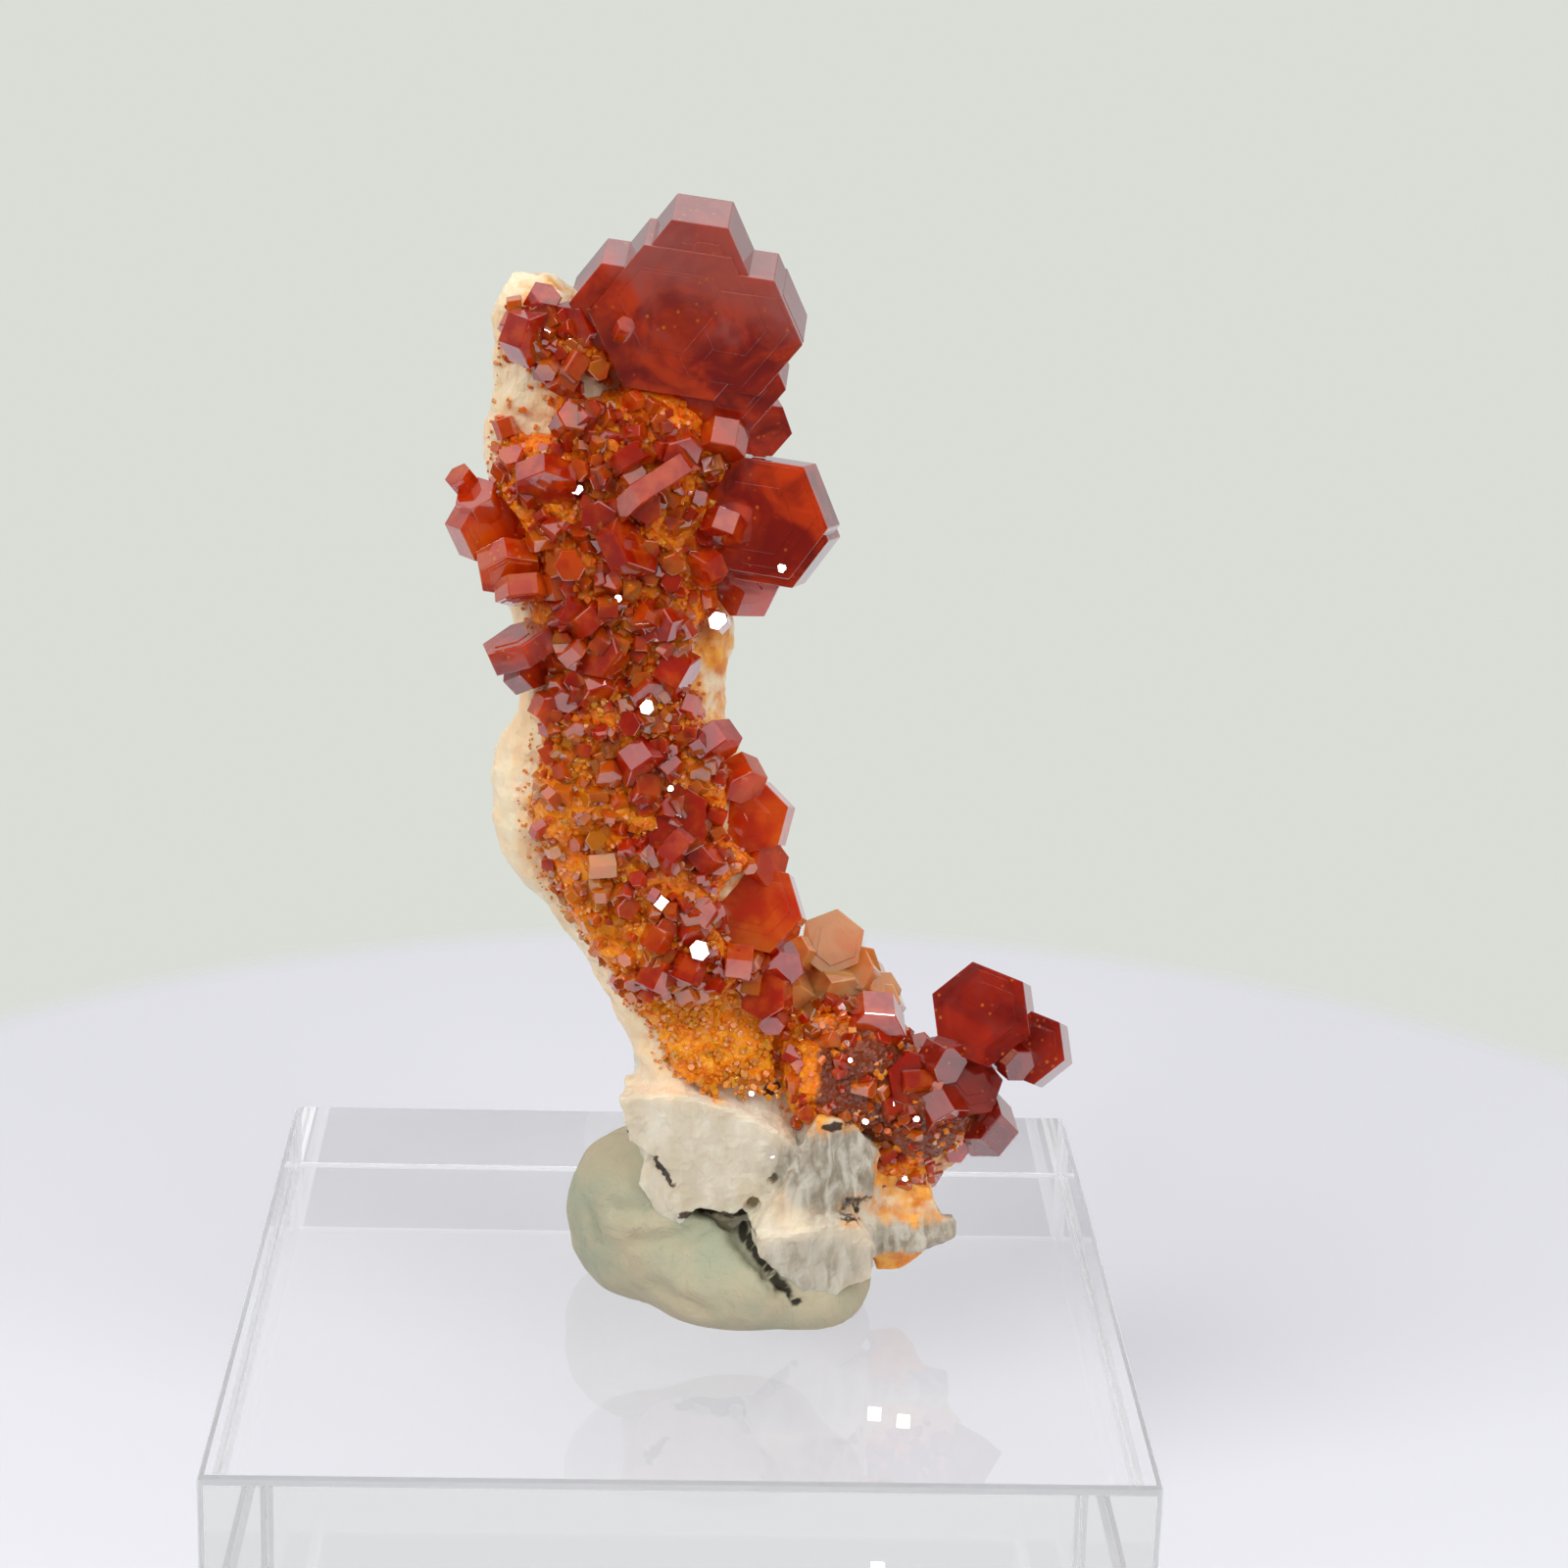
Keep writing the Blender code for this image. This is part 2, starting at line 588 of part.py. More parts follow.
def acrylic_base(surface):
    """Makes the clear block with its fine edges."""
    shape = bmesh.new()
    bmesh.ops.create_cube(shape, size=1.0)
    size = Matrix.Diagonal((BASE_SIDE, BASE_SIDE, BASE_HEIGHT, 1.0))
    place = Matrix.Translation((0, 0, BASE_HEIGHT / 2)) @ size
    bmesh.ops.transform(shape, matrix=place, verts=shape.verts)
    made = object_from(shape, "base")
    edge = made.modifiers.new("Edge", "BEVEL")
    edge.width = BASE_EDGE
    edge.segments = 2
    settle(made)
    return finish(made, "acrylic_base", surface)


def build():
    """Makes every piece of the specimen."""
    clear_scene()
    acrylic = material("clear_acrylic", (0.95, 0.95, 0.96), 0.03, transmission=1.0, ior=1.49)
    tack = material("mineral_tack", (0.52, 0.55, 0.46), 0.75)
    barite = material("cream_barite", (0.84, 0.72, 0.62), 0.5)
    red = material("red_vanadinite", (0.33, 0.03, 0.02), 0.12)
    orange = material("orange_vanadinite", (0.62, 0.16, 0.03), 0.22)
    clearance = matrix_clearance()
    acrylic_base(acrylic)
    mineral_tack(clearance, tack)
    barite_matrix(barite)
    names = list(CRYSTALS)
    for index, name in enumerate(names):
        crystal_cluster(name, names[:index], clearance, red)
    vanadinite_druse(clearance, orange)


build()
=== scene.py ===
"""Looks of the vanadinite on barite: glassy crystals, rough barite, soft tack and a clear block.

Shapes are made in millimetres and scaled to metres as they become objects. The front view looks along +Y.
"""

import math
import random

import bmesh
import bpy
from mathutils import Matrix, Vector, noise


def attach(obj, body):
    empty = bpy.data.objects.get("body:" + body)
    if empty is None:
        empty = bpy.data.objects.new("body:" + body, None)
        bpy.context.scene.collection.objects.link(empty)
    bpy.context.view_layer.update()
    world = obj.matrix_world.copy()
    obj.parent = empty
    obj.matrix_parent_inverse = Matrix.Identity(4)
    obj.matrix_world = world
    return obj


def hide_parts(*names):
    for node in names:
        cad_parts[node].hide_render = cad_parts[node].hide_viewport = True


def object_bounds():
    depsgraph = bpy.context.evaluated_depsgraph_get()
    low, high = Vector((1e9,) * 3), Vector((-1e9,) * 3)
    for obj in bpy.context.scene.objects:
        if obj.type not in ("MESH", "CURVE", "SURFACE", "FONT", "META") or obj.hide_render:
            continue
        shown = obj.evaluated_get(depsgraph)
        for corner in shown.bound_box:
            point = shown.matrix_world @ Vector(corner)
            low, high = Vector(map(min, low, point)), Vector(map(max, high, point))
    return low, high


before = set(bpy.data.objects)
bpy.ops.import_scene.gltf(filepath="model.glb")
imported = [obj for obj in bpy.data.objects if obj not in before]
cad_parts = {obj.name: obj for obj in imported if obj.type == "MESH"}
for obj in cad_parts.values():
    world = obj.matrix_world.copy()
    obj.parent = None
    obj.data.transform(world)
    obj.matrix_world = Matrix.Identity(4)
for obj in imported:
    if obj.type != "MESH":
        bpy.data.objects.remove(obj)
cad_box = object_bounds()

MM = 0.001
BLOCK_TOP = 9.5

# Round table, which is solid up to the first radius of its fade and clear from the second
TABLE_CENTRE = (4.4, 7.9, -0.05)
TABLE_RADIUS = 67
TABLE_FADE = (61.8, 66.8)

# Cosines at the outer and inner edge of each bright zone of the surroundings
BRIGHT_ZONE = (0.955, 0.985)
SPECIMEN_MIDDLE = (0, 0, 32)
NOISE_ROUGHNESS = 0.55
LUMP_DETAIL = 5
SEED = 11

# Barite blade: height, left edge, right edge, front, back
BLADE = (
    (53.8, -8.0, -6.2, -0.9, 0.7),
    (52.6, -8.4, -4.2, -1.6, 1.5),
    (50.8, -8.6, -1.0, -2.0, 2.1),
    (48.6, -8.6, 1.0, -2.2, 2.4),
    (46.5, -8.6, 1.9, -2.2, 2.6),
    (44.3, -8.5, 1.8, -2.2, 2.7),
    (42.0, -8.3, 1.6, -2.3, 2.8),
    (39.8, -7.6, 1.2, -2.4, 2.8),
    (37.6, -6.7, 1.2, -2.4, 2.8),
    (35.4, -7.5, 1.6, -2.5, 3.0),
    (33.2, -8.5, 2.1, -2.6, 3.2),
    (31.0, -8.7, 2.8, -2.7, 3.3),
    (28.8, -7.9, 3.3, -2.7, 3.4),
    (26.6, -6.2, 3.3, -2.6, 3.4),
    (24.4, -4.5, 3.2, -2.5, 3.4),
    (22.2, -3.1, 3.6, -2.6, 3.6),
    (20.0, -2.4, 4.4, -2.9, 3.8),
    (17.5, -2.3, 5.6, -3.2, 4.0),
    (15.0, -1.8, 6.0, -3.2, 3.8),
    (13.0, -0.6, 5.4, -2.8, 3.2),
    (11.8, 0.6, 4.4, -2.0, 2.4),
)
BLADE_SIDES = 84
BLADE_STEP = 0.4
BLADE_SQUARENESS = 0.72
BLADE_ROUGHNESS = 0.55

# Lumps of the arm: centre and half sizes
ARM_LUMPS = (
    ((6.0, 0.4, 18.2), (3.6, 3.2, 3.9)),
    ((9.6, -0.2, 17.2), (2.9, 2.6, 2.7)),
    ((6.4, -1.0, 14.6), (3.4, 2.8, 2.4)),
)

# Broken plates at the foot: outline as x and z, then front face y, thickness, turn and lean in degrees
WHITE_PLATE = (
    (-2.7, 19.6), (-2.5, 17.6), (-1.4, 16.9), (-0.4, 16.1), (-0.7, 15.0), (0.0, 13.8),
    (0.7, 14.4), (2.0, 14.2), (3.3, 15.4), (4.8, 17.7), (3.2, 18.9), (0.0, 19.9),
)
PEACH_NUB = ((-1.9, 15.2), (-1.6, 16.4), (0.4, 16.0), (0.2, 13.6), (-0.6, 13.4))
GREY_PLATE = ((2.7, 14.1), (5.6, 18.7), (7.2, 18.2), (8.2, 16.8), (7.8, 15.0), (4.6, 14.3))
LOWER_PLATE = (
    (2.6, 14.4), (2.9, 13.3), (4.0, 12.2), (5.1, 11.2), (5.9, 11.0),
    (6.9, 11.7), (7.9, 12.0), (8.0, 13.6), (7.0, 14.9),
)
RIGHT_PLATE = ((7.6, 12.0), (9.6, 12.3), (11.8, 13.0), (11.7, 13.9), (9.6, 13.7), (7.6, 13.6))
AMBER_ROCK = (
    (7.4, 13.0), (7.4, 15.6), (9.0, 15.8), (10.6, 15.0), (11.0, 13.8), (10.4, 13.0), (8.6, 12.9),
)
BROWN_BITS = ((8.2, 11.4), (9.4, 11.3), (10.4, 11.9), (10.6, 12.6), (8.6, 12.7))
PLATES = (
    (WHITE_PLATE, -4.0, 2.6, -6, 4),
    (PEACH_NUB, -3.5, 2.4, -10, 0),
    (GREY_PLATE, -4.5, 2.6, 12, -14),
    (LOWER_PLATE, -5.5, 4.2, 8, 6),
    (RIGHT_PLATE, -3.9, 1.6, 0, -20),
    (BROWN_BITS, -3.0, 2.0, 6, 0),
    (AMBER_ROCK, -3.4, 2.4, 6, -8),
)

# Broken slabs on the blade's back: centre, size, then lean and roll in degrees
BACK_SLABS = (
    ((-4.8, 1.7, 49.0), (6.0, 2.0, 6.4), 8, 10),
    ((-2.2, 2.0, 45.4), (6.0, 2.2, 6.0), -6, -14),
    ((-4.6, 2.1, 42.0), (5.8, 2.2, 6.2), 7, 14),
    ((-2.6, 2.3, 38.4), (5.6, 2.2, 6.0), -7, -8),
    ((-3.9, 2.6, 34.4), (6.0, 2.2, 6.4), 8, 12),
    ((-2.0, 2.8, 30.8), (7.0, 2.2, 6.2), -7, -16),
    ((-2.0, 2.7, 27.2), (5.4, 2.2, 5.6), 6, 18),
    ((0.4, 2.8, 23.2), (5.0, 2.4, 5.6), -6, -10),
)

# Mineral tack: centre and half sizes
TACK_LUMPS = (
    ((2.6, -1.2, 11.1), (5.4, 5.2, 2.8)),
    ((-1.1, 0.3, 12.4), (4.1, 4.2, 4.1)),
    ((5.2, -2.6, 10.5), (3.1, 3.2, 2.2)),
    ((2.6, 2.6, 12.0), (4.6, 3.4, 3.4)),
)

# Creases pressed into the tack's front: start and end as x and height, half width and depth
CREASES = (
    ((-2.1, 12.8), (0.6, 13.4), 0.5, 0.40),
    ((-4.3, 13.6), (-3.7, 12.5), 0.35, 0.35),
    ((-3.0, 14.0), (-1.8, 14.2), 0.4, 0.30),
    ((0.6, 14.2), (2.0, 13.9), 0.5, 0.5),
    ((1.7, 13.9), (3.5, 12.5), 0.5, 0.55),
    ((3.5, 12.5), (4.2, 11.6), 0.5, 0.55),
    ((4.2, 11.6), (4.9, 10.9), 0.3, 0.5),
    ((-1.2, 11.2), (0.8, 10.6), 0.6, 0.22),
)

# Directions shared by crystals that grew parallel: turn to the right, tip upward, spin about the axis
CROWN_SET = (-5, -14, -7)
SHOULDER_SET = (-16, 8, -4)
ARM_SET = (-19, 25, -14)

# Groups of large crystals, by the solid that each stands for: centre x, y, z, corner radius and length,
# then turn, tip and spin in degrees
LARGE_CRYSTALS = {
    "crown_crystals": (
        (-0.3, -3.1, 55.2, 2.2, 2.8, *CROWN_SET),
        (-3.1, -2.3, 53.3, 2.2, 2.6, *CROWN_SET),
        (1.9, -2.4, 52.5, 2.2, 2.6, *CROWN_SET),
        (-0.9, -2.6, 52.9, 3.6, 2.8, *CROWN_SET),
        (1.2, -2.7, 52.6, 2.9, 2.8, *CROWN_SET),
        (1.1, -1.8, 50.5, 2.4, 2.4, *CROWN_SET),
        (-3.2, -3.9, 52.3, 0.4, 0.9, 26, 43, -28),
        (2.2, -0.6, 48.2, 1.3, 2.4, 14, -14, -7),
        (0.9, -2.7, 47.7, 1.0, 1.2, -14, -52, -14),
    ),
    "shoulder_crystals": (
        (2.9, -1.9, 44.4, 2.7, 2.2, *SHOULDER_SET),
        (3.2, -1.3, 43.7, 2.5, 2.2, *SHOULDER_SET),
        (2.1, -1.4, 41.6, 1.5, 1.6, -16, -12, 5),
    ),
    "flank_crystals": (
        (-8.7, -1.9, 43.7, 1.5, 1.5, 29, 3, -5),
        (-9.4, -1.8, 45.3, 0.6, 1.7, -55, 49, -16),
        (-8.9, -2.3, 44.8, 0.9, 1.2, -36, 52, -7),
        (-7.7, -2.8, 42.3, 1.4, 1.0, 14, -40, -17),
        (-7.1, -3.0, 41.4, 1.2, 0.9, 14, -63, 12),
    ),
    "left_tablet_crystals": (
        (-7.2, -3.0, 39.0, 1.6, 1.0, -77, 66, -3),
        (-7.0, -2.5, 37.7, 0.8, 1.2, 44, 25, 5),
    ),
    "right_edge_crystals": (
        (2.0, -1.9, 33.2, 1.0, 1.2, 26, -30, 29),
        (2.7, -1.4, 31.3, 1.6, 1.4, -16, 19, 21),
        (2.9, -1.9, 27.4, 2.0, 1.6, -11, 24, -8),
        (3.0, -1.7, 29.4, 1.0, 1.2, 40, 10, 5),
        (4.0, -2.4, 26.9, 0.6, 1.0, 27, -28, -26),
    ),
    "arm_back_crystals": (
        (6.3, 1.8, 24.4, 1.5, 2.4, -6, 30, 24),
        (7.2, 1.4, 23.7, 1.0, 2.0, 12, 20, -14),
        (8.0, 0.8, 22.6, 0.9, 2.0, 43, 30, -14),
    ),
    "arm_crystals": (
        (12.8, -1.0, 22.4, 2.3, 1.8, *ARM_SET),
        (14.9, -1.1, 21.0, 1.7, 1.9, *ARM_SET),
        (14.0, -2.5, 20.9, 0.8, 0.9, 28, -8, -11),
        (10.9, -2.2, 20.8, 1.0, 1.2, 38, -5, -4),
        (10.9, -2.8, 18.7, 1.1, 1.3, 34, -37, -21),
        (12.9, -1.2, 17.5, 1.4, 1.7, -47, 44, 19),
        (12.0, -1.3, 19.2, 1.5, 2.0, 10, 30, 5),
    ),
}
LARGE_ENOUGH = 1.1
LAYERED_RADIUS = 1.2
CRYSTAL_EDGE = 0.035
LAYER_RISE = 0.035
LAYER_EDGE = 0.012

# Medium crystals of the druse, in the same order of values
MEDIUM_CRYSTALS = (
    (-6.5, -2.4, 53.0, 0.7, 1.2, 38, 50, -19),
    (-6.9, -2.9, 51.8, 1.2, 1.2, 49, -8, 10),
    (-5.1, -2.6, 52.1, 1.1, 1.3, -31, -3, -2),
    (-6.0, -2.6, 50.8, 1.0, 1.2, 2, -19, -22),
    (-5.6, -3.2, 50.2, 0.7, 0.9, -60, 30, -29),
    (-4.9, -3.0, 48.2, 1.1, 1.2, 39, -29, -13),
    (-3.8, -2.9, 47.4, 1.0, 1.1, 12, -16, -17),
    (-2.8, -3.4, 47.0, 1.0, 0.8, 56, -52, -5),
    (-6.2, -3.4, 45.9, 1.4, 1.0, 4, -39, -27),
    (-1.7, -3.0, 45.7, 2.3, 0.9, 61, -49, -12),
    (-2.8, -3.5, 43.6, 1.6, 1.0, 58, 29, -26),
    (1.0, -3.4, 44.3, 0.9, 1.0, -30, -52, 30),
    (-5.3, -3.3, 40.6, 0.9, 0.9, -74, 32, -25),
    (-4.5, -3.6, 40.4, 0.9, 0.9, -87, 50, -21),
    (-3.9, -3.3, 38.9, 1.2, 1.2, -35, 18, 1),
    (-0.8, -3.1, 38.0, 1.1, 1.2, 66, -22, 6),
    (-2.0, -3.3, 37.2, 0.9, 1.0, 20, -19, -13),
    (0.8, -2.7, 34.9, 1.1, 1.1, 45, -39, -13),
    (-2.2, -3.6, 34.3, 1.1, 1.1, 41, -35, -16),
    (-1.0, -3.2, 31.7, 1.9, 1.2, -13, 17, -26),
    (-0.6, -3.9, 30.6, 1.1, 0.9, 59, -30, -2),
    (0.6, -3.6, 30.4, 0.9, 0.9, 72, 45, 28),
    (3.3, -2.6, 23.8, 1.1, 1.2, -23, 19, -20),
    (3.6, -2.8, 22.8, 0.6, 1.0, -8, -19, 5),
    (3.9, -1.9, 25.0, 0.9, 1.4, 13, -6, -14),
    (8.0, -1.5, 22.2, 1.3, 1.6, 1, -17, -5),
    (9.5, -2.3, 19.9, 1.3, 1.5, 19, 21, -25),
    (11.5, -1.6, 16.6, 0.6, 1.4, 23, -5, -9),
)

# Pale crystals behind the arm, in the same order of values
BACK_CRYSTALS = (
    (4.7, 0.6, 24.5, 0.8, 1.6, -20, 25, 10),
    (6.3, 0.6, 22.9, 1.2, 2.2, 20, -10, 5),
    (7.5, 0.9, 23.4, 1.0, 2.0, -30, 35, 12),
    (5.6, 0.2, 21.8, 1.2, 2.0, 40, 15, -12),
    (8.5, 0.6, 22.3, 0.9, 1.6, -15, 30, 0),
    (4.5, 0.4, 22.9, 0.9, 1.8, 10, -15, 20),
)

# Crystals that catch the lamp: x, y and height, where a y of 0 stands for the druse's own surface, and radius
MIRROR_CRYSTALS = (
    (0.19, 0, 40.2, 0.42),
    (-2.05, 0, 36.7, 0.34),
    (0.28, 0, 26.3, 0.44),
    (-4.76, 0, 45.7, 0.26),
    (-5.8, 0, 45.9, 0.22),
    (3.4, -3.4, 42.6, 0.2),
    (7.65, -3.65, 18.5, 0.16),
    (8.7, -3.45, 19.25, 0.18),
    (2.4, 0, 19.9, 0.14),
    (-1.2, 0, 33.2, 0.16),
    (-3.2, 0, 41.3, 0.18),
    (6.9, -3.65, 21.3, 0.12),
    (9.8, -3.85, 18.75, 0.15),
    (9.45, -3.45, 15.8, 0.14),
    (3.7, -4.2, 17.1, 0.12),
)
MIRROR_ROOT = 0.9
CAMERA_PLACE = Vector((-1.58, -143.28, 76.85))
LEFT_LAMP = Vector((-60, -260, 170))

# Druse on the blade: height, bare margin at the left and at the right
DRUSE_MARGINS = (
    (52.9, 0.8, 0.6),
    (51.0, 0.6, 0.5),
    (45.0, 0.3, 0.3),
    (40.4, 0.5, 0.6),
    (38.6, 0.8, 1.8),
    (36.4, 0.8, 1.2),
    (34.0, 1.7, 0.4),
    (30.0, 2.0, 0.3),
    (26.6, 1.3, 0.3),
    (23.6, 1.3, 0.3),
    (20.6, 1.7, 0.4),
    (19.3, 3.2, 0.3),
)
CRUST_HEIGHT = 1.05
CRUST_COLUMNS = 46
CRUST_STEP = 0.3
CRUST_DEPTH = 0.6

# Where barite shows through the druse: x, height, and half sizes
BARE_PATCHES = (
    (-4.4, 49.8, 1.4, 0.9),
    (-7.0, 48.9, 1.4, 2.0),
    (0.1, 45.6, 0.5, 0.4),
    (-6.5, 37.8, 0.9, 1.3),
    (0.9, 37.6, 1.2, 2.0),
)
NECK_TOP = 24.4
DRUSE_TOP = DRUSE_MARGINS[0][0]
DRUSE_FOOT = DRUSE_MARGINS[-1][0]

# Crust over the arm: centre and half sizes
ARM_CRUST = (
    ((6.6, -0.4, 19.6), (3.4, 3.2, 3.2)),
    ((9.9, -0.6, 18.2), (2.9, 2.8, 2.6)),
    ((9.0, -0.9, 15.9), (1.9, 2.1, 1.8)),
)


def between(table, height):
    """Reads a table of rows that start with a height, top first, at any height."""
    for upper, lower in zip(table, table[1:]):
        if height >= lower[0]:
            share = min(1.0, (upper[0] - height) / (upper[0] - lower[0]))
            return [a + (b - a) * share for a, b in zip(upper[1:], lower[1:])]
    return list(table[-1][1:])


def blade_point(height, angle, lift=0.0):
    """Returns a point over the blade's surface and the outward direction; the front is at 270 degrees."""
    left, right, front, back = between(BLADE, height)
    cosine, sine = math.cos(angle), math.sin(angle)
    half_x, half_y = (right - left) / 2, (back - front) / 2
    x = (left + right) / 2 + half_x * math.copysign(abs(cosine) ** BLADE_SQUARENESS, cosine)
    y = (front + back) / 2 + half_y * math.copysign(abs(sine) ** BLADE_SQUARENESS, sine)
    outward = Vector((cosine / half_x, sine / half_y, 0)).normalized()
    rough = noise.noise(Vector((x, y, height)) * 0.33) + 0.5 * noise.noise(Vector((x, y, height * 1.6)) * 0.9)
    return Vector((x, y, height)) + outward * (BLADE_ROUGHNESS * rough + lift), outward


def druse_angle(height, share):
    """Returns the angle on the blade's front at a share of the way across the druse."""
    left, right = between(BLADE, height)[:2]
    margin_left, margin_right = between(DRUSE_MARGINS, height)
    half = (right - left) / 2
    x = -half + margin_left + (2 * half - margin_left - margin_right) * share
    cosine = math.copysign(min(1.0, abs(x / half)) ** (1 / BLADE_SQUARENESS), x)
    return 2 * math.pi - math.acos(cosine)


def steps(top, bottom, size):
    """Returns heights from top to bottom, evenly spaced at about the given size."""
    count = round((top - bottom) / size)
    return [top + (bottom - top) * i / count for i in range(count + 1)]


def smooth(low, high, value):
    """Eases from 0 at low to 1 at high."""
    share = min(1.0, max(0.0, (value - low) / (high - low)))
    return share * share * (3 - 2 * share)


def fade(low, high, value):
    """Eases from 1 at low to 0 at high."""
    return 1 - smooth(low, high, value)


def placed(name, data):
    """Adds an object to the scene."""
    made = bpy.data.objects.new(name, data)
    bpy.context.scene.collection.objects.link(made)
    return made


def object_from(shape, name):
    """Makes an object in metres from a bmesh in millimetres, which it frees."""
    mesh = bpy.data.meshes.new(name)
    shape.to_mesh(mesh)
    shape.free()
    mesh.transform(Matrix.Scale(MM, 4))
    return placed(name, mesh)


def finish(made, surface):
    """Gives an object its only material."""
    made.data.materials.clear()
    made.data.materials.append(surface)


def wall(shape, first, second):
    """Joins two rings of points with faces."""
    for i in range(len(first)):
        j = (i + 1) % len(first)
        shape.faces.new((first[i], first[j], second[j], second[i]))


def settle(made):
    """Turns an object's modifiers into its mesh."""
    graph = bpy.context.evaluated_depsgraph_get()
    mesh = bpy.data.meshes.new_from_object(made.evaluated_get(graph))
    made.modifiers.clear()
    made.data = mesh


def remeshed(made, grain, rounds):
    """Blends an object's overlapping shells into one skin and softens it."""
    blend = made.modifiers.new("Blend", "REMESH")
    blend.mode = "VOXEL"
    blend.voxel_size = grain * MM
    soft = made.modifiers.new("Soft", "SMOOTH")
    soft.iterations = rounds
    settle(made)


def push(made, amount):
    """Moves every point along its normal by what the function gives for its place in millimetres."""
    mesh = made.data
    normals = [vertex.normal.copy() for vertex in mesh.vertices]
    for vertex, normal in zip(mesh.vertices, normals):
        vertex.co += normal * (amount(vertex.co / MM) * MM)
    mesh.update()


# Materials


class Nodes:
    """Adds nodes to a material or to the world."""

    def __init__(self, tree):
        self.tree = tree

    def give(self, socket, value):
        """Links an input to another node's output, or sets it to a number, colour or vector."""
        if isinstance(value, bpy.types.NodeSocket):
            self.tree.links.new(value, socket)
        else:
            socket.default_value = value

    def add(self, kind, values, **settings):
        """Adds a node of a kind, such as Math, with values for its inputs by their name or number."""
        made = self.tree.nodes.new("ShaderNode" + kind)
        for name, setting in settings.items():
            setattr(made, name, setting)
        for key, value in values.items():
            self.give(made.inputs[key], value)
        return made

    def span(self, source, low, high, start=0.0, end=1.0, easing="SMOOTHSTEP"):
        """Maps one range onto another, and holds the ends."""
        values = {"Value": source, "From Min": low, "From Max": high, "To Min": start, "To Max": end}
        return self.add("MapRange", values, interpolation_type=easing).outputs["Result"]

    def math(self, operation, first, second):
        return self.add("Math", {0: first, 1: second}, operation=operation).outputs["Value"]

    def measure(self, operation, first, second):
        """Returns one number from two vectors."""
        return self.add("VectorMath", {0: first, 1: second}, operation=operation).outputs["Value"]

    def absolute(self, source):
        return self.add("VectorMath", {0: source}, operation="ABSOLUTE").outputs["Vector"]

    def split(self, source):
        return self.add("SeparateXYZ", {"Vector": source}).outputs


class Paint(Nodes):
    """Builds one node material; texture sizes are in millimetres of the object's own space."""

    def __init__(self, name):
        self.material = bpy.data.materials.new(name)
        self.material.use_nodes = True
        super().__init__(self.material.node_tree)
        self.shader = self.tree.nodes["Principled BSDF"]
        self.place = self.add("TexCoord", {}).outputs["Object"]

    def set(self, **values):
        """Gives values or other nodes' outputs to the shader's inputs."""
        for name, value in values.items():
            self.give(self.shader.inputs[name.replace("_", " ")], value)

    def scatter(self, weight, radius, scale):
        """Lets light scatter under the surface."""
        self.set(Subsurface_Weight=weight, Subsurface_Radius=radius, Subsurface_Scale=scale)

    def scaled(self, size, stretch):
        scale = [1 / (size * MM * share) for share in stretch]
        return self.add("Mapping", {"Vector": self.place, "Scale": scale}).outputs["Vector"]

    def noise(self, size, detail=4.0, stretch=(1, 1, 1), distortion=0.0):
        values = {"Vector": self.scaled(size, stretch), "Scale": 1.0, "Detail": detail}
        values |= {"Roughness": NOISE_ROUGHNESS, "Distortion": distortion}
        return self.add("TexNoise", values).outputs["Fac"]

    def cells(self, size, feature="F1", stretch=(1, 1, 1)):
        values = {"Vector": self.scaled(size, stretch), "Scale": 1.0}
        return self.add("TexVoronoi", values, feature=feature).outputs["Distance"]

    def mix(self, share, first, second):
        made = self.add("Mix", {"Factor": share}, data_type="RGBA")
        colours = [socket for socket in made.inputs if socket.type == "RGBA"]
        for socket, value in zip(colours, (first, second)):
            self.give(socket, (*value, 1.0) if isinstance(value, tuple) else value)
        return next(socket for socket in made.outputs if socket.type == "RGBA")

    def attribute(self, name):
        return self.add("Attribute", {}, attribute_name=name).outputs["Fac"]

    def ragged(self, name, size, low, high, swing=0.3):
        """Reads a mask stored on the mesh and breaks its edge up with noise."""
        broken = self.span(self.noise(size, 6.0), 0.3, 0.7, -swing, 0.3)
        return self.span(self.math("ADD", self.attribute(name), broken), low, high)

    def bump(self, source, distance, strength=1.0, under=None):
        values = {"Height": source, "Distance": distance * MM, "Strength": strength}
        if under:
            values["Normal"] = under
        return self.add("Bump", values).outputs["Normal"]

    def absorb(self, colour, density):
        made = self.add("VolumeAbsorption", {"Color": (*colour, 1.0), "Density": density})
        self.give(self.tree.nodes["Material Output"].inputs["Volume"], made.outputs["Volume"])


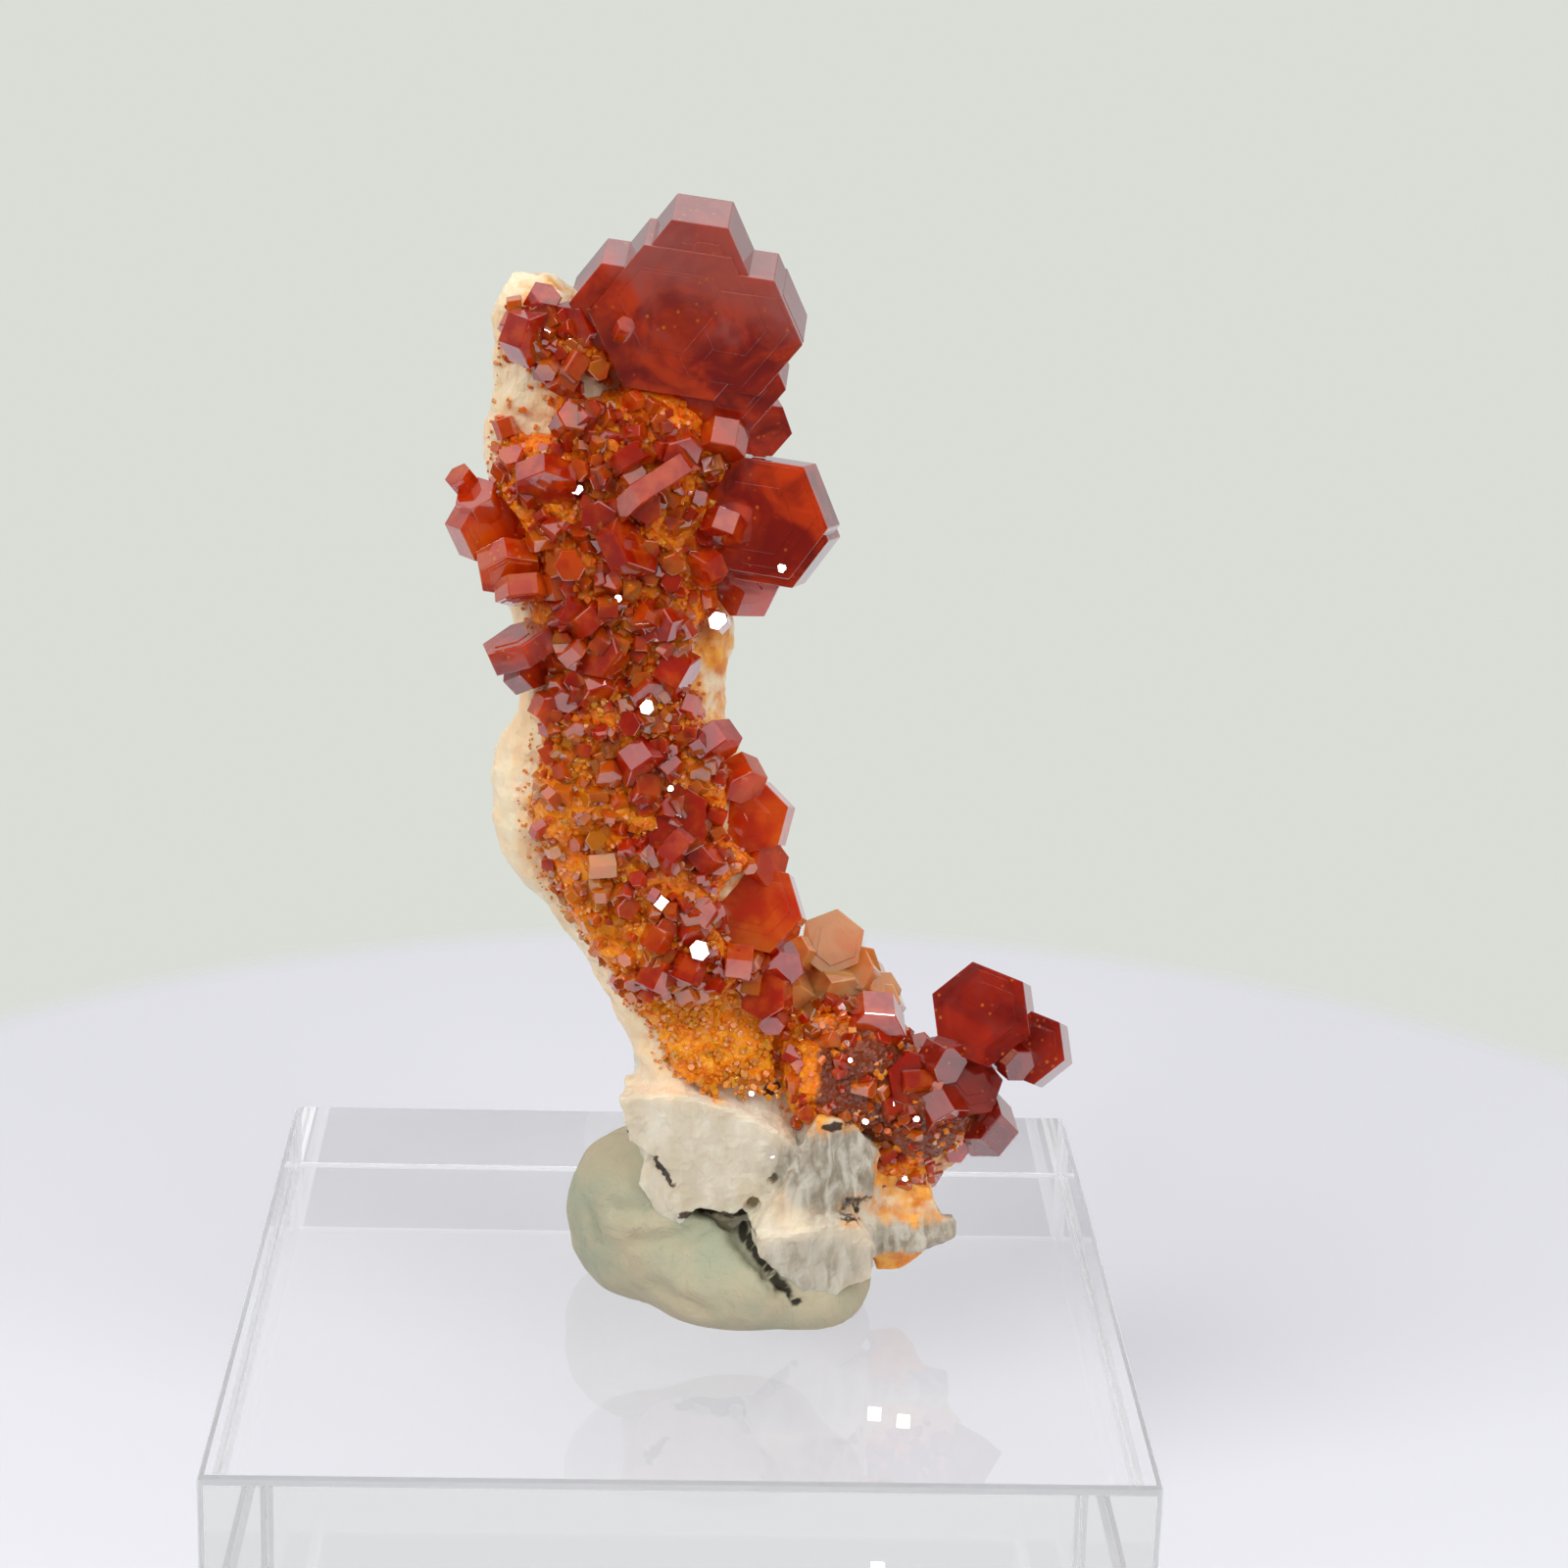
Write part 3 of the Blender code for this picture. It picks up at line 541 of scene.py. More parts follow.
def large_vanadinite(name, deep, bright, painted_reflection, clear, density, reflection_heights=(90, 91)):
    """Half clear crystal with inner fractures painted as bright glints, and painted reflection in patches
    that thicken between two heights.
    """
    paint = Paint(name)
    clouds = paint.span(paint.noise(2.2, 6.0, distortion=0.8), 0.36, 0.66)
    body = paint.mix(clouds, deep, bright)
    place = paint.split(paint.place)
    slope = paint.math("ADD", place["Z"], paint.math("MULTIPLY", place["X"], 0.4))
    # Painted reflection, in patches and over the part above two heights.
    upper = paint.span(slope, reflection_heights[0] * MM, reflection_heights[1] * MM, 0.0, 0.9)
    reflection_patches = paint.span(paint.noise(3.4, 3.0, distortion=0.4), 0.42, 0.72, -0.25, 0.55)
    body = paint.mix(paint.span(paint.math("ADD", reflection_patches, upper), 0.0, 1.0), body, painted_reflection)
    # Inner fractures, painted as bright orange glints.
    fracture_glints = paint.span(paint.cells(0.42), 0.26, 0.06)
    fracture_glints = paint.math("MULTIPLY", fracture_glints, paint.span(paint.noise(1.6), 0.5, 0.6))
    polish = paint.span(paint.noise(0.7, 6.0), 0.40, 0.75, 0.02, 0.10)
    swell = paint.bump(paint.noise(1.6, 2.0), 0.03, 0.35)
    facets = paint.bump(paint.cells(0.8, "SMOOTH_F1", (1, 1, 0.4)), 0.01, 0.25, swell)
    paint.set(Base_Color=paint.mix(fracture_glints, body, (0.98, 0.30, 0.02)), Roughness=polish, Normal=facets)
    paint.set(IOR=1.65, Transmission_Weight=clear, Coat_Weight=0.75, Coat_IOR=2.05, Coat_Roughness=0.02)
    paint.scatter(0.5, (1.0, 0.2, 0.06), 0.0016)
    paint.absorb((0.94, 0.35, 0.02), density)
    return paint.material


def druse_vanadinite(name, deep, bright, clear, depth=0.0012):
    """Smaller crystals, which let more light through; a shade above 1 makes them honey coloured."""
    paint = Paint(name)
    shade = paint.attribute("shade")
    clouds = paint.span(paint.noise(0.9, 3.0), 0.35, 0.7)
    tone = paint.math("MULTIPLY", paint.math("ADD", shade, clouds), 0.5)
    body = paint.mix(paint.span(tone, 0.15, 0.85), deep, bright)
    body = paint.mix(paint.span(shade, 1.0, 1.5), body, (0.99, 0.30, 0.008))
    paint.set(Base_Color=body, Roughness=paint.span(paint.noise(0.5), 0.35, 0.75, 0.02, 0.10))
    paint.set(IOR=1.55, Transmission_Weight=clear, Coat_Weight=0.9, Coat_IOR=2.1, Coat_Roughness=0.02)
    paint.scatter(0.6, (1.0, 0.3, 0.08), depth)
    paint.absorb((0.98, 0.50, 0.02), 250.0)
    return paint.material


def crust():
    """Fine grained crust under the crystals: orange red, honey coloured at the neck and dark on the arm."""
    paint = Paint("amber_crust")
    patches = paint.span(paint.noise(2.2, 6.0), 0.36, 0.66)
    grains = paint.span(paint.cells(0.26), 0.1, 0.6)
    base = paint.mix(patches, (0.98, 0.16, 0.004), (0.95, 0.07, 0.002))
    base = paint.mix(grains, base, (1.0, 0.25, 0.008))
    mottled = paint.span(paint.noise(0.9, 6.0), 0.35, 0.68)
    honey = paint.mix(mottled, (0.98, 0.24, 0.004), (1.0, 0.38, 0.015))
    base = paint.mix(paint.attribute("honey"), base, honey)
    base = paint.mix(paint.ragged("dark", 0.9, 0.2, 0.8), base, (0.20, 0.035, 0.008))
    paint.set(Base_Color=base, Roughness=paint.span(paint.noise(0.4), 0.3, 0.7, 0.08, 0.35))
    paint.set(Normal=paint.bump(paint.cells(0.28), 0.12, 0.8), IOR=1.7)
    paint.scatter(0.5, (1.0, 0.35, 0.1), 0.0012)
    return paint.material


def barite():
    """Cream barite, with amber stain, a chalky plate, grey feathery plates and painted shade in the pits at
    the foot.
    """
    paint = Paint("cream_barite_rough")
    mottled = paint.noise(1.7, 7.0, stretch=(1, 1, 1.8))
    cream = paint.mix(paint.span(mottled, 0.35, 0.65), (0.98, 0.66, 0.38), (0.98, 0.80, 0.56))
    grain = paint.noise(1.3, 6.0, stretch=(1, 1, 2.2))
    chalk = paint.mix(paint.span(grain, 0.35, 0.7), (0.66, 0.57, 0.42), (0.80, 0.73, 0.59))
    feather = paint.noise(0.9, 6.0, stretch=(0.6, 0.6, 2.4), distortion=0.8)
    grey = paint.mix(paint.span(feather, 0.35, 0.66), (0.28, 0.23, 0.165), (0.56, 0.52, 0.43))
    rust = paint.span(paint.noise(0.6, 6.0), 0.3, 0.7)
    amber = paint.mix(rust, (0.74, 0.22, 0.012), (0.95, 0.46, 0.08))
    surface = paint.mix(paint.attribute("chalk"), cream, chalk)
    surface = paint.mix(paint.attribute("grey"), surface, grey)
    surface = paint.mix(paint.ragged("stain", 0.8, 0.2, 0.85), surface, amber)
    # Painted shade in the pits and gaps at the foot.
    surface = paint.mix(paint.ragged("dark", 0.5, 0.3, 0.7, 0.35), surface, (0.06, 0.035, 0.02))
    coarse = paint.bump(paint.noise(0.8, 8.0, stretch=(0.6, 0.6, 1.8)), 0.22, 0.6)
    paint.set(Base_Color=surface, Roughness=paint.span(paint.noise(0.6, 5.0), 0.3, 0.7, 0.35, 0.6))
    paint.set(Normal=paint.bump(paint.noise(0.12), 0.03, 0.5, coarse), IOR=1.64)
    paint.scatter(0.5, (1.0, 0.6, 0.35), 0.0011)
    return paint.material


def tack():
    """Matte grey-green putty with fine wrinkles, and painted shade in its deepest creases."""
    paint = Paint("mineral_tack_matte")
    clouds = paint.span(paint.noise(4.0, 5.0), 0.38, 0.66)
    base = paint.mix(clouds, (0.48, 0.41, 0.275), (0.375, 0.385, 0.27))
    # Painted shade in the deep creases.
    base = paint.mix(paint.span(paint.attribute("crease"), 0.15, 0.6), base, (0.035, 0.03, 0.02))
    soft = paint.bump(paint.noise(1.8, 5.0, distortion=1.6), 0.30, 0.6)
    folds = paint.bump(paint.span(paint.noise(0.9, 3.0, distortion=2.0), 0.44, 0.50), 0.05, 0.4, soft)
    paint.set(Base_Color=base, Roughness=paint.span(paint.noise(0.5), 0.3, 0.7, 0.5, 0.72))
    paint.set(Normal=paint.bump(paint.noise(0.2), 0.02, 0.5, folds), IOR=1.45)
    paint.scatter(0.12, (1.0, 0.9, 0.6), 0.0006)
    return paint.material


def acrylic():
    """Clear polished acrylic, with faint wipe marks and finely sanded edges."""
    paint = Paint("clear_acrylic_polished")
    wipes = paint.span(paint.noise(4.0, 3.0, stretch=(1, 3, 1)), 0.35, 0.75, 0.0, 0.012)
    facing = paint.split(paint.absolute(paint.add("NewGeometry", {}).outputs["Normal"]))
    flattest = paint.math("MAXIMUM", paint.math("MAXIMUM", facing["X"], facing["Y"]), facing["Z"])
    sanded = paint.span(flattest, 0.999, 0.98, 0.0, 0.8)
    paint.set(Roughness=paint.math("ADD", wipes, sanded), Base_Color=(0.957, 0.957, 0.958, 1.0))
    paint.set(IOR=1.49, Transmission_Weight=1.0)
    paint.absorb((0.90, 0.92, 0.91), 10.0)
    return paint.material


# Crystals


def crystal_frame(turn, tip, spin):
    """Returns a crystal's axis, and the direction of its first corner."""
    turned, tipped, spun = (math.radians(angle) for angle in (turn, tip, spin))
    level_share = math.cos(tipped)
    axis = Vector((math.sin(turned) * level_share, -math.cos(turned) * level_share, math.sin(tipped)))
    level = Vector((math.cos(turned), math.sin(turned), 0))
    return axis, math.cos(spun) * level + math.sin(spun) * axis.cross(level)


LARGE_BODIES = [
    (Vector(row[:3]), crystal_frame(*row[5:])[0], row[3] * 0.93, row[4] / 2)
    for rows in LARGE_CRYSTALS.values() for row in rows
]


def from_large(point):
    """Gives, for each large crystal, the distances along and beside its axis, its radius and half length."""
    for centre, axis, radius, half in LARGE_BODIES:
        away = point - centre
        along = away.dot(axis)
        yield along, (away - axis * along).length, radius, half


def inside_large(point, margin):
    """Says whether a point lies in a large crystal, or within a margin of it."""
    for along, beside, radius, half in from_large(point):
        if abs(along) < half + margin and beside < radius + margin:
            return True
        if radius > LARGE_ENOUGH and 0 < along < half + 1.6 and beside < radius * 0.85:
            return True
    return False


def hexagon(reach, inset=0.0):
    """Returns the corners of a hexagon with sides at 60 degrees, each at its own distance from the middle."""
    corners = []
    for k in range(6):
        first, second = reach[k] - inset, reach[(k + 1) % 6] - inset
        here, there = math.radians(60 * k + 30), math.radians(60 * k + 90)
        a = (first - second / 2) / 0.75
        b = (second - first / 2) / 0.75
        corners.append((a * math.cos(here) + b * math.cos(there), a * math.sin(here) + b * math.sin(there)))
    return corners


def uneven_sides(draw, radius, uneven):
    """Returns six side distances around a crystal of the given corner radius."""
    apothem = radius * math.cos(math.pi / 6)
    return [apothem * (1 + draw.uniform(-uneven, uneven)) for _ in range(6)]


def fine_prism(centre, axis, corner, reach, length, edge):
    """Makes one hexagonal prism with fine rounded edges."""
    side = axis.cross(corner)
    shape = bmesh.new()
    near, far = [
        [shape.verts.new(centre + axis * along + corner * u + side * v) for u, v in hexagon(reach)]
        for along in (length / 2, -length / 2)
    ]
    shape.faces.new(near)
    shape.faces.new(far[::-1])
    wall(shape, far, near)
    bmesh.ops.bevel(shape, geom=list(shape.edges), offset=edge, segments=2, profile=0.5, affect="EDGES")
    return object_from(shape, "crystal")


def united(objects, name):
    """Unites objects that overlap into one closed skin."""
    first, *others = objects
    for other in others:
        step = first.modifiers.new("Unite", "BOOLEAN")
        step.operation = "UNION"
        step.solver = "MANIFOLD"
        step.object = other
        settle(first)
        bpy.data.objects.remove(other)
    first.name = name
    return first


def large_group(draw, name, rows):
    """Unites a group of large crystals, whose ends carry thin growth layers."""
    pieces = []
    for x, y, z, radius, length, *angles in rows:
        centre = Vector((x, y, z))
        axis, corner = crystal_frame(*angles)
        side = axis.cross(corner)
        sides = uneven_sides(draw, radius, 0.02)
        pieces.append(fine_prism(centre, axis, corner, sides, length, CRYSTAL_EDGE))
        if radius < LAYERED_RADIUS:
            continue
        for layer in range(2):
            spread = radius * draw.uniform(0.55, 0.8) * (1 - 0.2 * layer)
            away = (corner * draw.uniform(-1, 1) + side * draw.uniform(-1, 1)) * radius * 0.14
            tall = length + 2 * (LAYER_RISE + 0.04 * layer)
            sides = uneven_sides(draw, spread, 0.2)
            pieces.append(fine_prism(centre + away, axis, corner, sides, tall, LAYER_EDGE))
    return united(pieces, name)


class Prisms:
    """Collects chamfered hexagonal prisms into one mesh."""

    def __init__(self, draw):
        self.draw = draw
        self.points = []
        self.faces = []
        self.shades = []

    def add(self, centre, axis, corner, radius, length, chamfer, uneven, shade):
        """Adds one prism, with its cap edges chamfered."""
        side = axis.cross(corner)
        reach = uneven_sides(self.draw, radius, uneven)
        half = length / 2
        rings = [(-half, chamfer), (-half + chamfer, 0.0), (half - chamfer, 0.0), (half, chamfer)]
        start = len(self.points)
        for along, inset in rings:
            for across, up in hexagon(reach, inset):
                self.points.append(centre + axis * along + corner * across + side * up)
        last = len(self.points) - 6
        self.faces.append([start + k for k in reversed(range(6))])
        for low in range(start, last, 6):
            for k in range(6):
                near = (k + 1) % 6
                self.faces.append([low + k, low + near, low + 6 + near, low + 6 + k])
        self.faces.append([last + k for k in range(6)])
        self.shades += [shade] * (len(self.faces) - len(self.shades))

    def add_rows(self, rows, chamfer, uneven, brightest):
        """Adds the crystals of a table, each with a random shade up to the brightest."""
        for x, y, z, radius, length, *angles in rows:
            axis, corner = crystal_frame(*angles)
            shade = self.draw.uniform(0.0, brightest)
            self.add(Vector((x, y, z)), axis, corner, radius, length, chamfer, uneven, shade)

    def build(self, name):
        """Makes the object, with each crystal's own shade stored on its faces."""
        mesh = bpy.data.meshes.new(name)
        mesh.from_pydata([point * MM for point in self.points], [], self.faces)
        mesh.attributes.new("shade", "FLOAT", "FACE").data.foreach_set("value", self.shades)
        mesh.update()
        return placed(name, mesh)


def in_box(point, reach):
    """Keeps crystals within the size of the solid model."""
    low, high = cad_box
    return all(low[i] / MM + reach <= point[i] <= high[i] / MM - reach for i in range(3))


def free_crystal(prisms, place, outward, radius, longest, bias, shade=0.0):
    """Stands one random crystal on a surface, where no large crystal and no edge of the part is in its way.

    The bias draws it towards the outward direction, and the shade is added to a random one.
    """
    if inside_large(place, radius * 0.4) or not in_box(place, radius):
        return
    draw = prisms.draw
    length = radius * draw.uniform(0.9, longest)
    shade += draw.random()
    loose = Vector([draw.gauss(0, 1) for _ in range(3)]).normalized()
    axis = (loose + outward * bias).normalized()
    level = axis.orthogonal().normalized()
    spun = draw.uniform(0, math.pi / 3)
    corner = math.cos(spun) * level + math.sin(spun) * axis.cross(level)
    prisms.add(place, axis, corner, radius, length, radius * 0.07, 0.14, shade)


def bareness(place):
    """Returns 1 where barite shows through the druse and 0 where the druse is whole."""
    most = 0.0
    for x, height, half_x, half_z in BARE_PATCHES:
        ragged = 0.35 * noise.noise(place * 1.1)
        away = math.hypot((place.x - x) / half_x, (place.z - height) / half_z) + ragged
        most = max(most, fade(0.7, 1.1, away))
    return most


def crust_cover(place, share):
    """Returns how high the crust stands at a place and a share of the way across."""
    neck = 1 - 0.55 * fade(NECK_TOP - 1.5, NECK_TOP + 0.5, place.z)
    clear = 1.0
    for along, beside, radius, half in from_large(place):
        if radius > LARGE_ENOUGH and along > -half - 1.5:
            clear = min(clear, smooth(radius * 0.8, radius * 1.15, beside))
    return CRUST_HEIGHT * smooth(-0.02, 0.14, min(share, 1 - share)) * neck * clear * (1 - bareness(place))


def sugar(height, share):
    """Returns 1 at the lower left of the druse, where the crystals are finest and orange."""
    return smooth(24.0, 26.0, height) * fade(33.5, 36.5, height) * fade(0.25, 0.5, share)


def blade_crystals(prisms, count, size, bias, spread, sink, bottom, sparse):
    """Scatters crystals over the blade's druse; a sparse share of them stands on the bare patches too."""
    draw = prisms.draw
    for index in range(count):
        height = DRUSE_TOP + (bottom - DRUSE_TOP) * (index + draw.random()) / count
        share = draw.uniform(-spread, 1 + spread)
        edge = min(share, 1 - share)
        fine = sugar(height, share)
        radius = draw.uniform(*size) * (0.6 + 0.4 * smooth(-0.05, 0.15, edge)) * (1 - 0.25 * fine)
        inner = min(1.0, max(0.0, share))
        angle = druse_angle(height, inner) + (share - inner) * 2.0
        base, outward = blade_point(height, angle)
        if bareness(base) > 0.5 and draw.random() > sparse:
            continue
        place = base + outward * (crust_cover(base, share) + radius * sink)
        shade = fade(NECK_TOP - 1.5, NECK_TOP + 0.5, height) + 0.7 * fine
        free_crystal(prisms, place, outward, radius, 2.0, bias, shade)


def arm_crystals(prisms, count, size, bias, sink):
    """Scatters crystals over the arm's crust."""
    draw = prisms.draw
    for index in range(count):
        centre, half_sizes = ARM_CRUST[index % len(ARM_CRUST)]
        across, up = math.radians(draw.uniform(-110, 110)), math.radians(draw.uniform(-35, 85))
        outward = Vector((math.sin(across) * math.cos(up), -math.cos(across) * math.cos(up), math.sin(up)))
        radius = draw.uniform(*size)
        place = Vector(centre) + Vector(half_sizes) * outward + outward * radius * sink
        free_crystal(prisms, place, outward, radius, 2.4, bias)


def mirror_crystals(prisms):
    """Stands crystals whose caps catch the small lamp at the left."""
    for x, y, z, radius in MIRROR_CRYSTALS:
        place = Vector((x, y, z))
        if y == 0:
            shares = [share / 60 for share in range(61)]
            nearest = min(shares, key=lambda share: abs(blade_point(z, druse_angle(z, share))[0].x - x))
            base, outward = blade_point(z, druse_angle(z, nearest))
            place = base + outward * (CRUST_HEIGHT + 0.3)
        axis = ((CAMERA_PLACE - place).normalized() + (LEFT_LAMP - place).normalized()).normalized()
        corner = axis.orthogonal().normalized()
        middle = place - axis * MIRROR_ROOT / 2
        prisms.add(middle, axis, corner, radius, radius * 1.8 + MIRROR_ROOT, radius * 0.06, 0.16, 0.6)


# Barite


def fine_blade():
    """Lofts the blade through its sections."""
    shape = bmesh.new()
    angles = [2 * math.pi * i / BLADE_SIDES for i in range(BLADE_SIDES)]
    rows = [
        [shape.verts.new(blade_point(height, angle)[0]) for angle in angles]
        for height in steps(BLADE[0][0], BLADE[-1][0], BLADE_STEP)
    ]
    for upper, lower in zip(rows, rows[1:]):
        wall(shape, upper, lower)
    shape.faces.new(rows[0])
    shape.faces.new(rows[-1])
    bmesh.ops.recalc_face_normals(shape, faces=shape.faces)
    return object_from(shape, "blade")


def lumps(rows, roughness, seed=0.0):
    """Makes the rough rounded lumps of a table, each from its own seed."""
    made = []
    for index, (centre, half_sizes) in enumerate(rows):
        shape = bmesh.new()
        bmesh.ops.create_icosphere(shape, subdivisions=LUMP_DETAIL, radius=1.0)
        for vertex in shape.verts:
            vertex.co *= 1 + roughness * noise.noise(vertex.co * 1.7 + Vector((seed + index, 3.1, 5.7)))
        place = Matrix.Translation(centre) @ Matrix.Diagonal((*half_sizes, 1.0))
        bmesh.ops.transform(shape, matrix=place, verts=shape.verts)
        made.append(object_from(shape, "lump"))
    return made


def plate(outline, front, thickness, turn, lean):
    """Makes a broken plate from its outline, with a ragged edge."""
    middle = sum((Vector((x, z)) for x, z in outline), Vector((0, 0))) / len(outline)
    shape = bmesh.new()
    ring = []
    for first, second in zip(outline, outline[1:] + outline[:1]):
        start, end = Vector(first), Vector(second)
        count = max(1, round((end - start).length / 0.35))
        for i in range(count):
            point = start.lerp(end, i / count)
            ragged = 0.16 * noise.noise(Vector((point.x * 1.9, point.y * 1.9, front)))
            point += (point - middle).normalized() * ragged
            ring.append(point - middle)
    near = [shape.verts.new((p.x, -thickness / 2, p.y)) for p in ring]
    far = [shape.verts.new((p.x, thickness / 2, p.y)) for p in ring]
    shape.faces.new(near)
    shape.faces.new(far[::-1])
    wall(shape, far, near)
    tilt = Matrix.Rotation(math.radians(turn), 4, "Z") @ Matrix.Rotation(math.radians(lean), 4, "X")
    place = Matrix.Translation((middle.x, front + thickness / 2, middle.y)) @ tilt
    bmesh.ops.transform(shape, matrix=place, verts=shape.verts)
    bmesh.ops.recalc_face_normals(shape, faces=shape.faces)
    return object_from(shape, "plate")


def slab(centre, size, lean, roll):
    """Makes a broken slab."""
    shape = bmesh.new()
    bmesh.ops.create_cube(shape, size=1.0)
    tilt = Matrix.Rotation(math.radians(lean), 4, "X") @ Matrix.Rotation(math.radians(roll), 4, "Y")
    place = Matrix.Translation(centre) @ tilt @ Matrix.Diagonal((*size, 1.0))
    bmesh.ops.transform(shape, matrix=place, verts=shape.verts)
    return object_from(shape, "slab")


def joined(objects, name):
    """Joins objects into one mesh."""
    shape = bmesh.new()
    for made in objects:
        shape.from_mesh(made.data)
        bpy.data.objects.remove(made)
    mesh = bpy.data.meshes.new(name)
    shape.to_mesh(mesh)
    shape.free()
    return placed(name, mesh)


def barite_relief(place):
    """Raises ridges, splinters and grain on the barite."""
    ridges = noise.noise(Vector((place.x * 0.9, place.y * 0.9, place.z * 0.35)))
    splinters = noise.noise(Vector((place.x * 2.4, place.y * 2.4, place.z * 0.8)))
    grain = noise.fractal(place * 2.6, 0.8, 2.1, 4)
    return 0.14 * ridges + 0.10 * abs(splinters) + 0.05 * grain - 0.04


def store(made, name, amount):
    """Keeps a mask for the material on every point, from its place in millimetres."""
    values = [amount(vertex.co / MM) for vertex in made.data.vertices]
    made.data.attributes.new(name, "FLOAT", "POINT").data.foreach_set("value", values)


def foot_share(place, x, z, reach_x, reach_z):
    """Returns 1 in the middle of a patch of the foot and 0 outside it."""
    away = math.hypot((place.x - x) / reach_x, (place.z - z) / reach_z)
    return fade(0.6, 1.15, away)


def chalk_mask(place):
    """The white plate and the foot below it."""
    ragged = 0.5 * noise.noise(place * 0.8)
    left = fade(19.2, 20.6, place.z + ragged) * fade(3.4, 5.2, place.x + ragged)
    return max(left, fade(14.2, 15.0, place.z + ragged))


def grey_mask(place):
    """The grey feathery plates to the right of the white one."""
    lower = 0.7 * foot_share(place, 5.4, 12.6, 2.8, 1.6)
    return max(foot_share(place, 6.4, 16.6, 3.2, 2.4), lower, foot_share(place, 10.2, 13.0, 2.8, 1.4))


def druse_edges(height):
    """Returns where the druse ends at the left and at the right."""
    return [blade_point(height, druse_angle(height, share))[0].x for share in (0.0, 1.0)]


EDGES = [(height, *druse_edges(height)) for height in steps(DRUSE_TOP, DRUSE_FOOT, 0.5)]


def stain_mask(place):
    """Iron stain of the neck, the arm, the lower plates and the rock beside the druse."""
    ragged = 0.6 * noise.noise(place * 0.9)
    neck = smooth(18.8, 20.4, place.z + ragged) * fade(25.5, 28.0, place.z)
    neck *= smooth(-0.6, 1.4, place.x + ragged)
    arm = smooth(4.0, 5.4, place.x) * smooth(17.4, 19.0, place.z + ragged)
    right = smooth(7.4, 8.6, place.x) * smooth(13.3, 14.3, place.z + ragged)
    bits = smooth(7.8, 8.6, place.x) * fade(12.2, 12.8, place.z + 0.5 * ragged)
    left, far = between(EDGES, place.z)
    beside = smooth(-0.5, 0.4, place.x - left) * fade(0.8, 3.0, place.x - far) * 0.55
    beside = max(beside, 0.95 * foot_share(place, 2.0, 39.4, 2.6, 3.0))
    glow = beside * fade(-1.0, 1.5, place.y) * (1 - 0.7 * bareness(place) * (place.x < -1))
    glow *= smooth(21.0, 24.0, place.z)
    corner = 0.4 * foot_share(place, 7.3, 15.0, 1.0, 0.8)
    return max(neck * 0.9, arm, right * 0.65, bits, glow, corner)


def crevice_shade_mask(place):
    """Painted shade in the pits at the foot, beside the neck and along the edges of the plates."""
    slanted = Vector((place.x + 0.62 * (place.z - 16.2), 0, place.z))
    spots = (
        foot_share(place, 1.4, 14.0, 1.9, 0.35),
        foot_share(slanted, -1.0, 16.2, 0.22, 0.85),
        foot_share(place, 3.7, 19.4, 0.5, 0.35),
        foot_share(place, 4.2, 21.6, 0.5, 0.45),
        foot_share(place, 6.4, 18.4, 0.9, 0.2) * 0.7,
        foot_share(place, -2.6, 17.9, 0.2, 0.2),
        0.5 * foot_share(place, 7.3, 14.9, 0.9, 0.7),
    )
    return max(spots) * fade(-2.5, -1.0, place.y)


def barite_piece():
    """Makes the barite's blade, arm, foot plates and back slabs as one rough skin."""
    plates = [plate(*row) for row in PLATES]
    slabs = [slab(*row) for row in BACK_SLABS]
    made = joined([fine_blade(), *lumps(ARM_LUMPS, 0.14), *plates, *slabs], "barite_rock")
    remeshed(made, grain=0.2, rounds=1)
    push(made, barite_relief)
    for name, mask in ("chalk", chalk_mask), ("grey", grey_mask), ("stain", stain_mask), ("dark", crevice_shade_mask):
        store(made, name, mask)
    return made


# Druse


def crust_honey(place):
    """Honey colour at the neck, and half as much at the lower left."""
    left = 0.6 * smooth(24.0, 26.0, place.z) * fade(33.5, 36.5, place.z)
    left *= fade(-2.5, 0.0, place.x)
    return max(left, fade(NECK_TOP - 1.2, NECK_TOP + 0.8, place.z))


def border(rows):
    """Returns the points around the edge of a grid, in order."""
    return rows[0] + [row[-1] for row in rows[1:]] + rows[-1][-2::-1] + [row[0] for row in rows[-2:0:-1]]


def crust_piece():
    """Makes the grained crust that the small crystals stand on."""
    shape = bmesh.new()
    outer, inner = [], []
    for height in steps(DRUSE_TOP, DRUSE_FOOT, CRUST_STEP):
        end = min(DRUSE_TOP - height, height - DRUSE_FOOT)
        over, under = [], []
        for column in range(CRUST_COLUMNS):
            share = column / (CRUST_COLUMNS - 1)
            place, outward = blade_point(height, druse_angle(height, share))
            rise = crust_cover(place, share) * smooth(0.0, 1.2, end)
            swell = 0.22 * noise.fractal(place * 1.4, 0.8, 2.2, 3) * rise
            sunk = 0.25 * fade(0.0, 0.3, rise)
            over.append(shape.verts.new(place + outward * (rise + swell - sunk)))
            under.append(shape.verts.new(place - outward * CRUST_DEPTH))
        outer.append(over)
        inner.append(under)
    for rows, flip in ((outer, False), (inner, True)):
        for upper, lower in zip(rows, rows[1:]):
            for i in range(CRUST_COLUMNS - 1):
                face = (upper[i], lower[i], lower[i + 1], upper[i + 1])
                shape.faces.new(face[::-1] if flip else face)
    wall(shape, border(outer), border(inner))
    bmesh.ops.recalc_face_normals(shape, faces=shape.faces)
    made = object_from(shape, "blade_crust")
    store(made, "honey", crust_honey)
    return made


def arm_darkness(place):
    """The dark middle of the arm's crust."""
    return smooth(4.8, 6.4, place.x) * fade(21.4, 23.0, place.z) * smooth(15.6, 17.2, place.z)


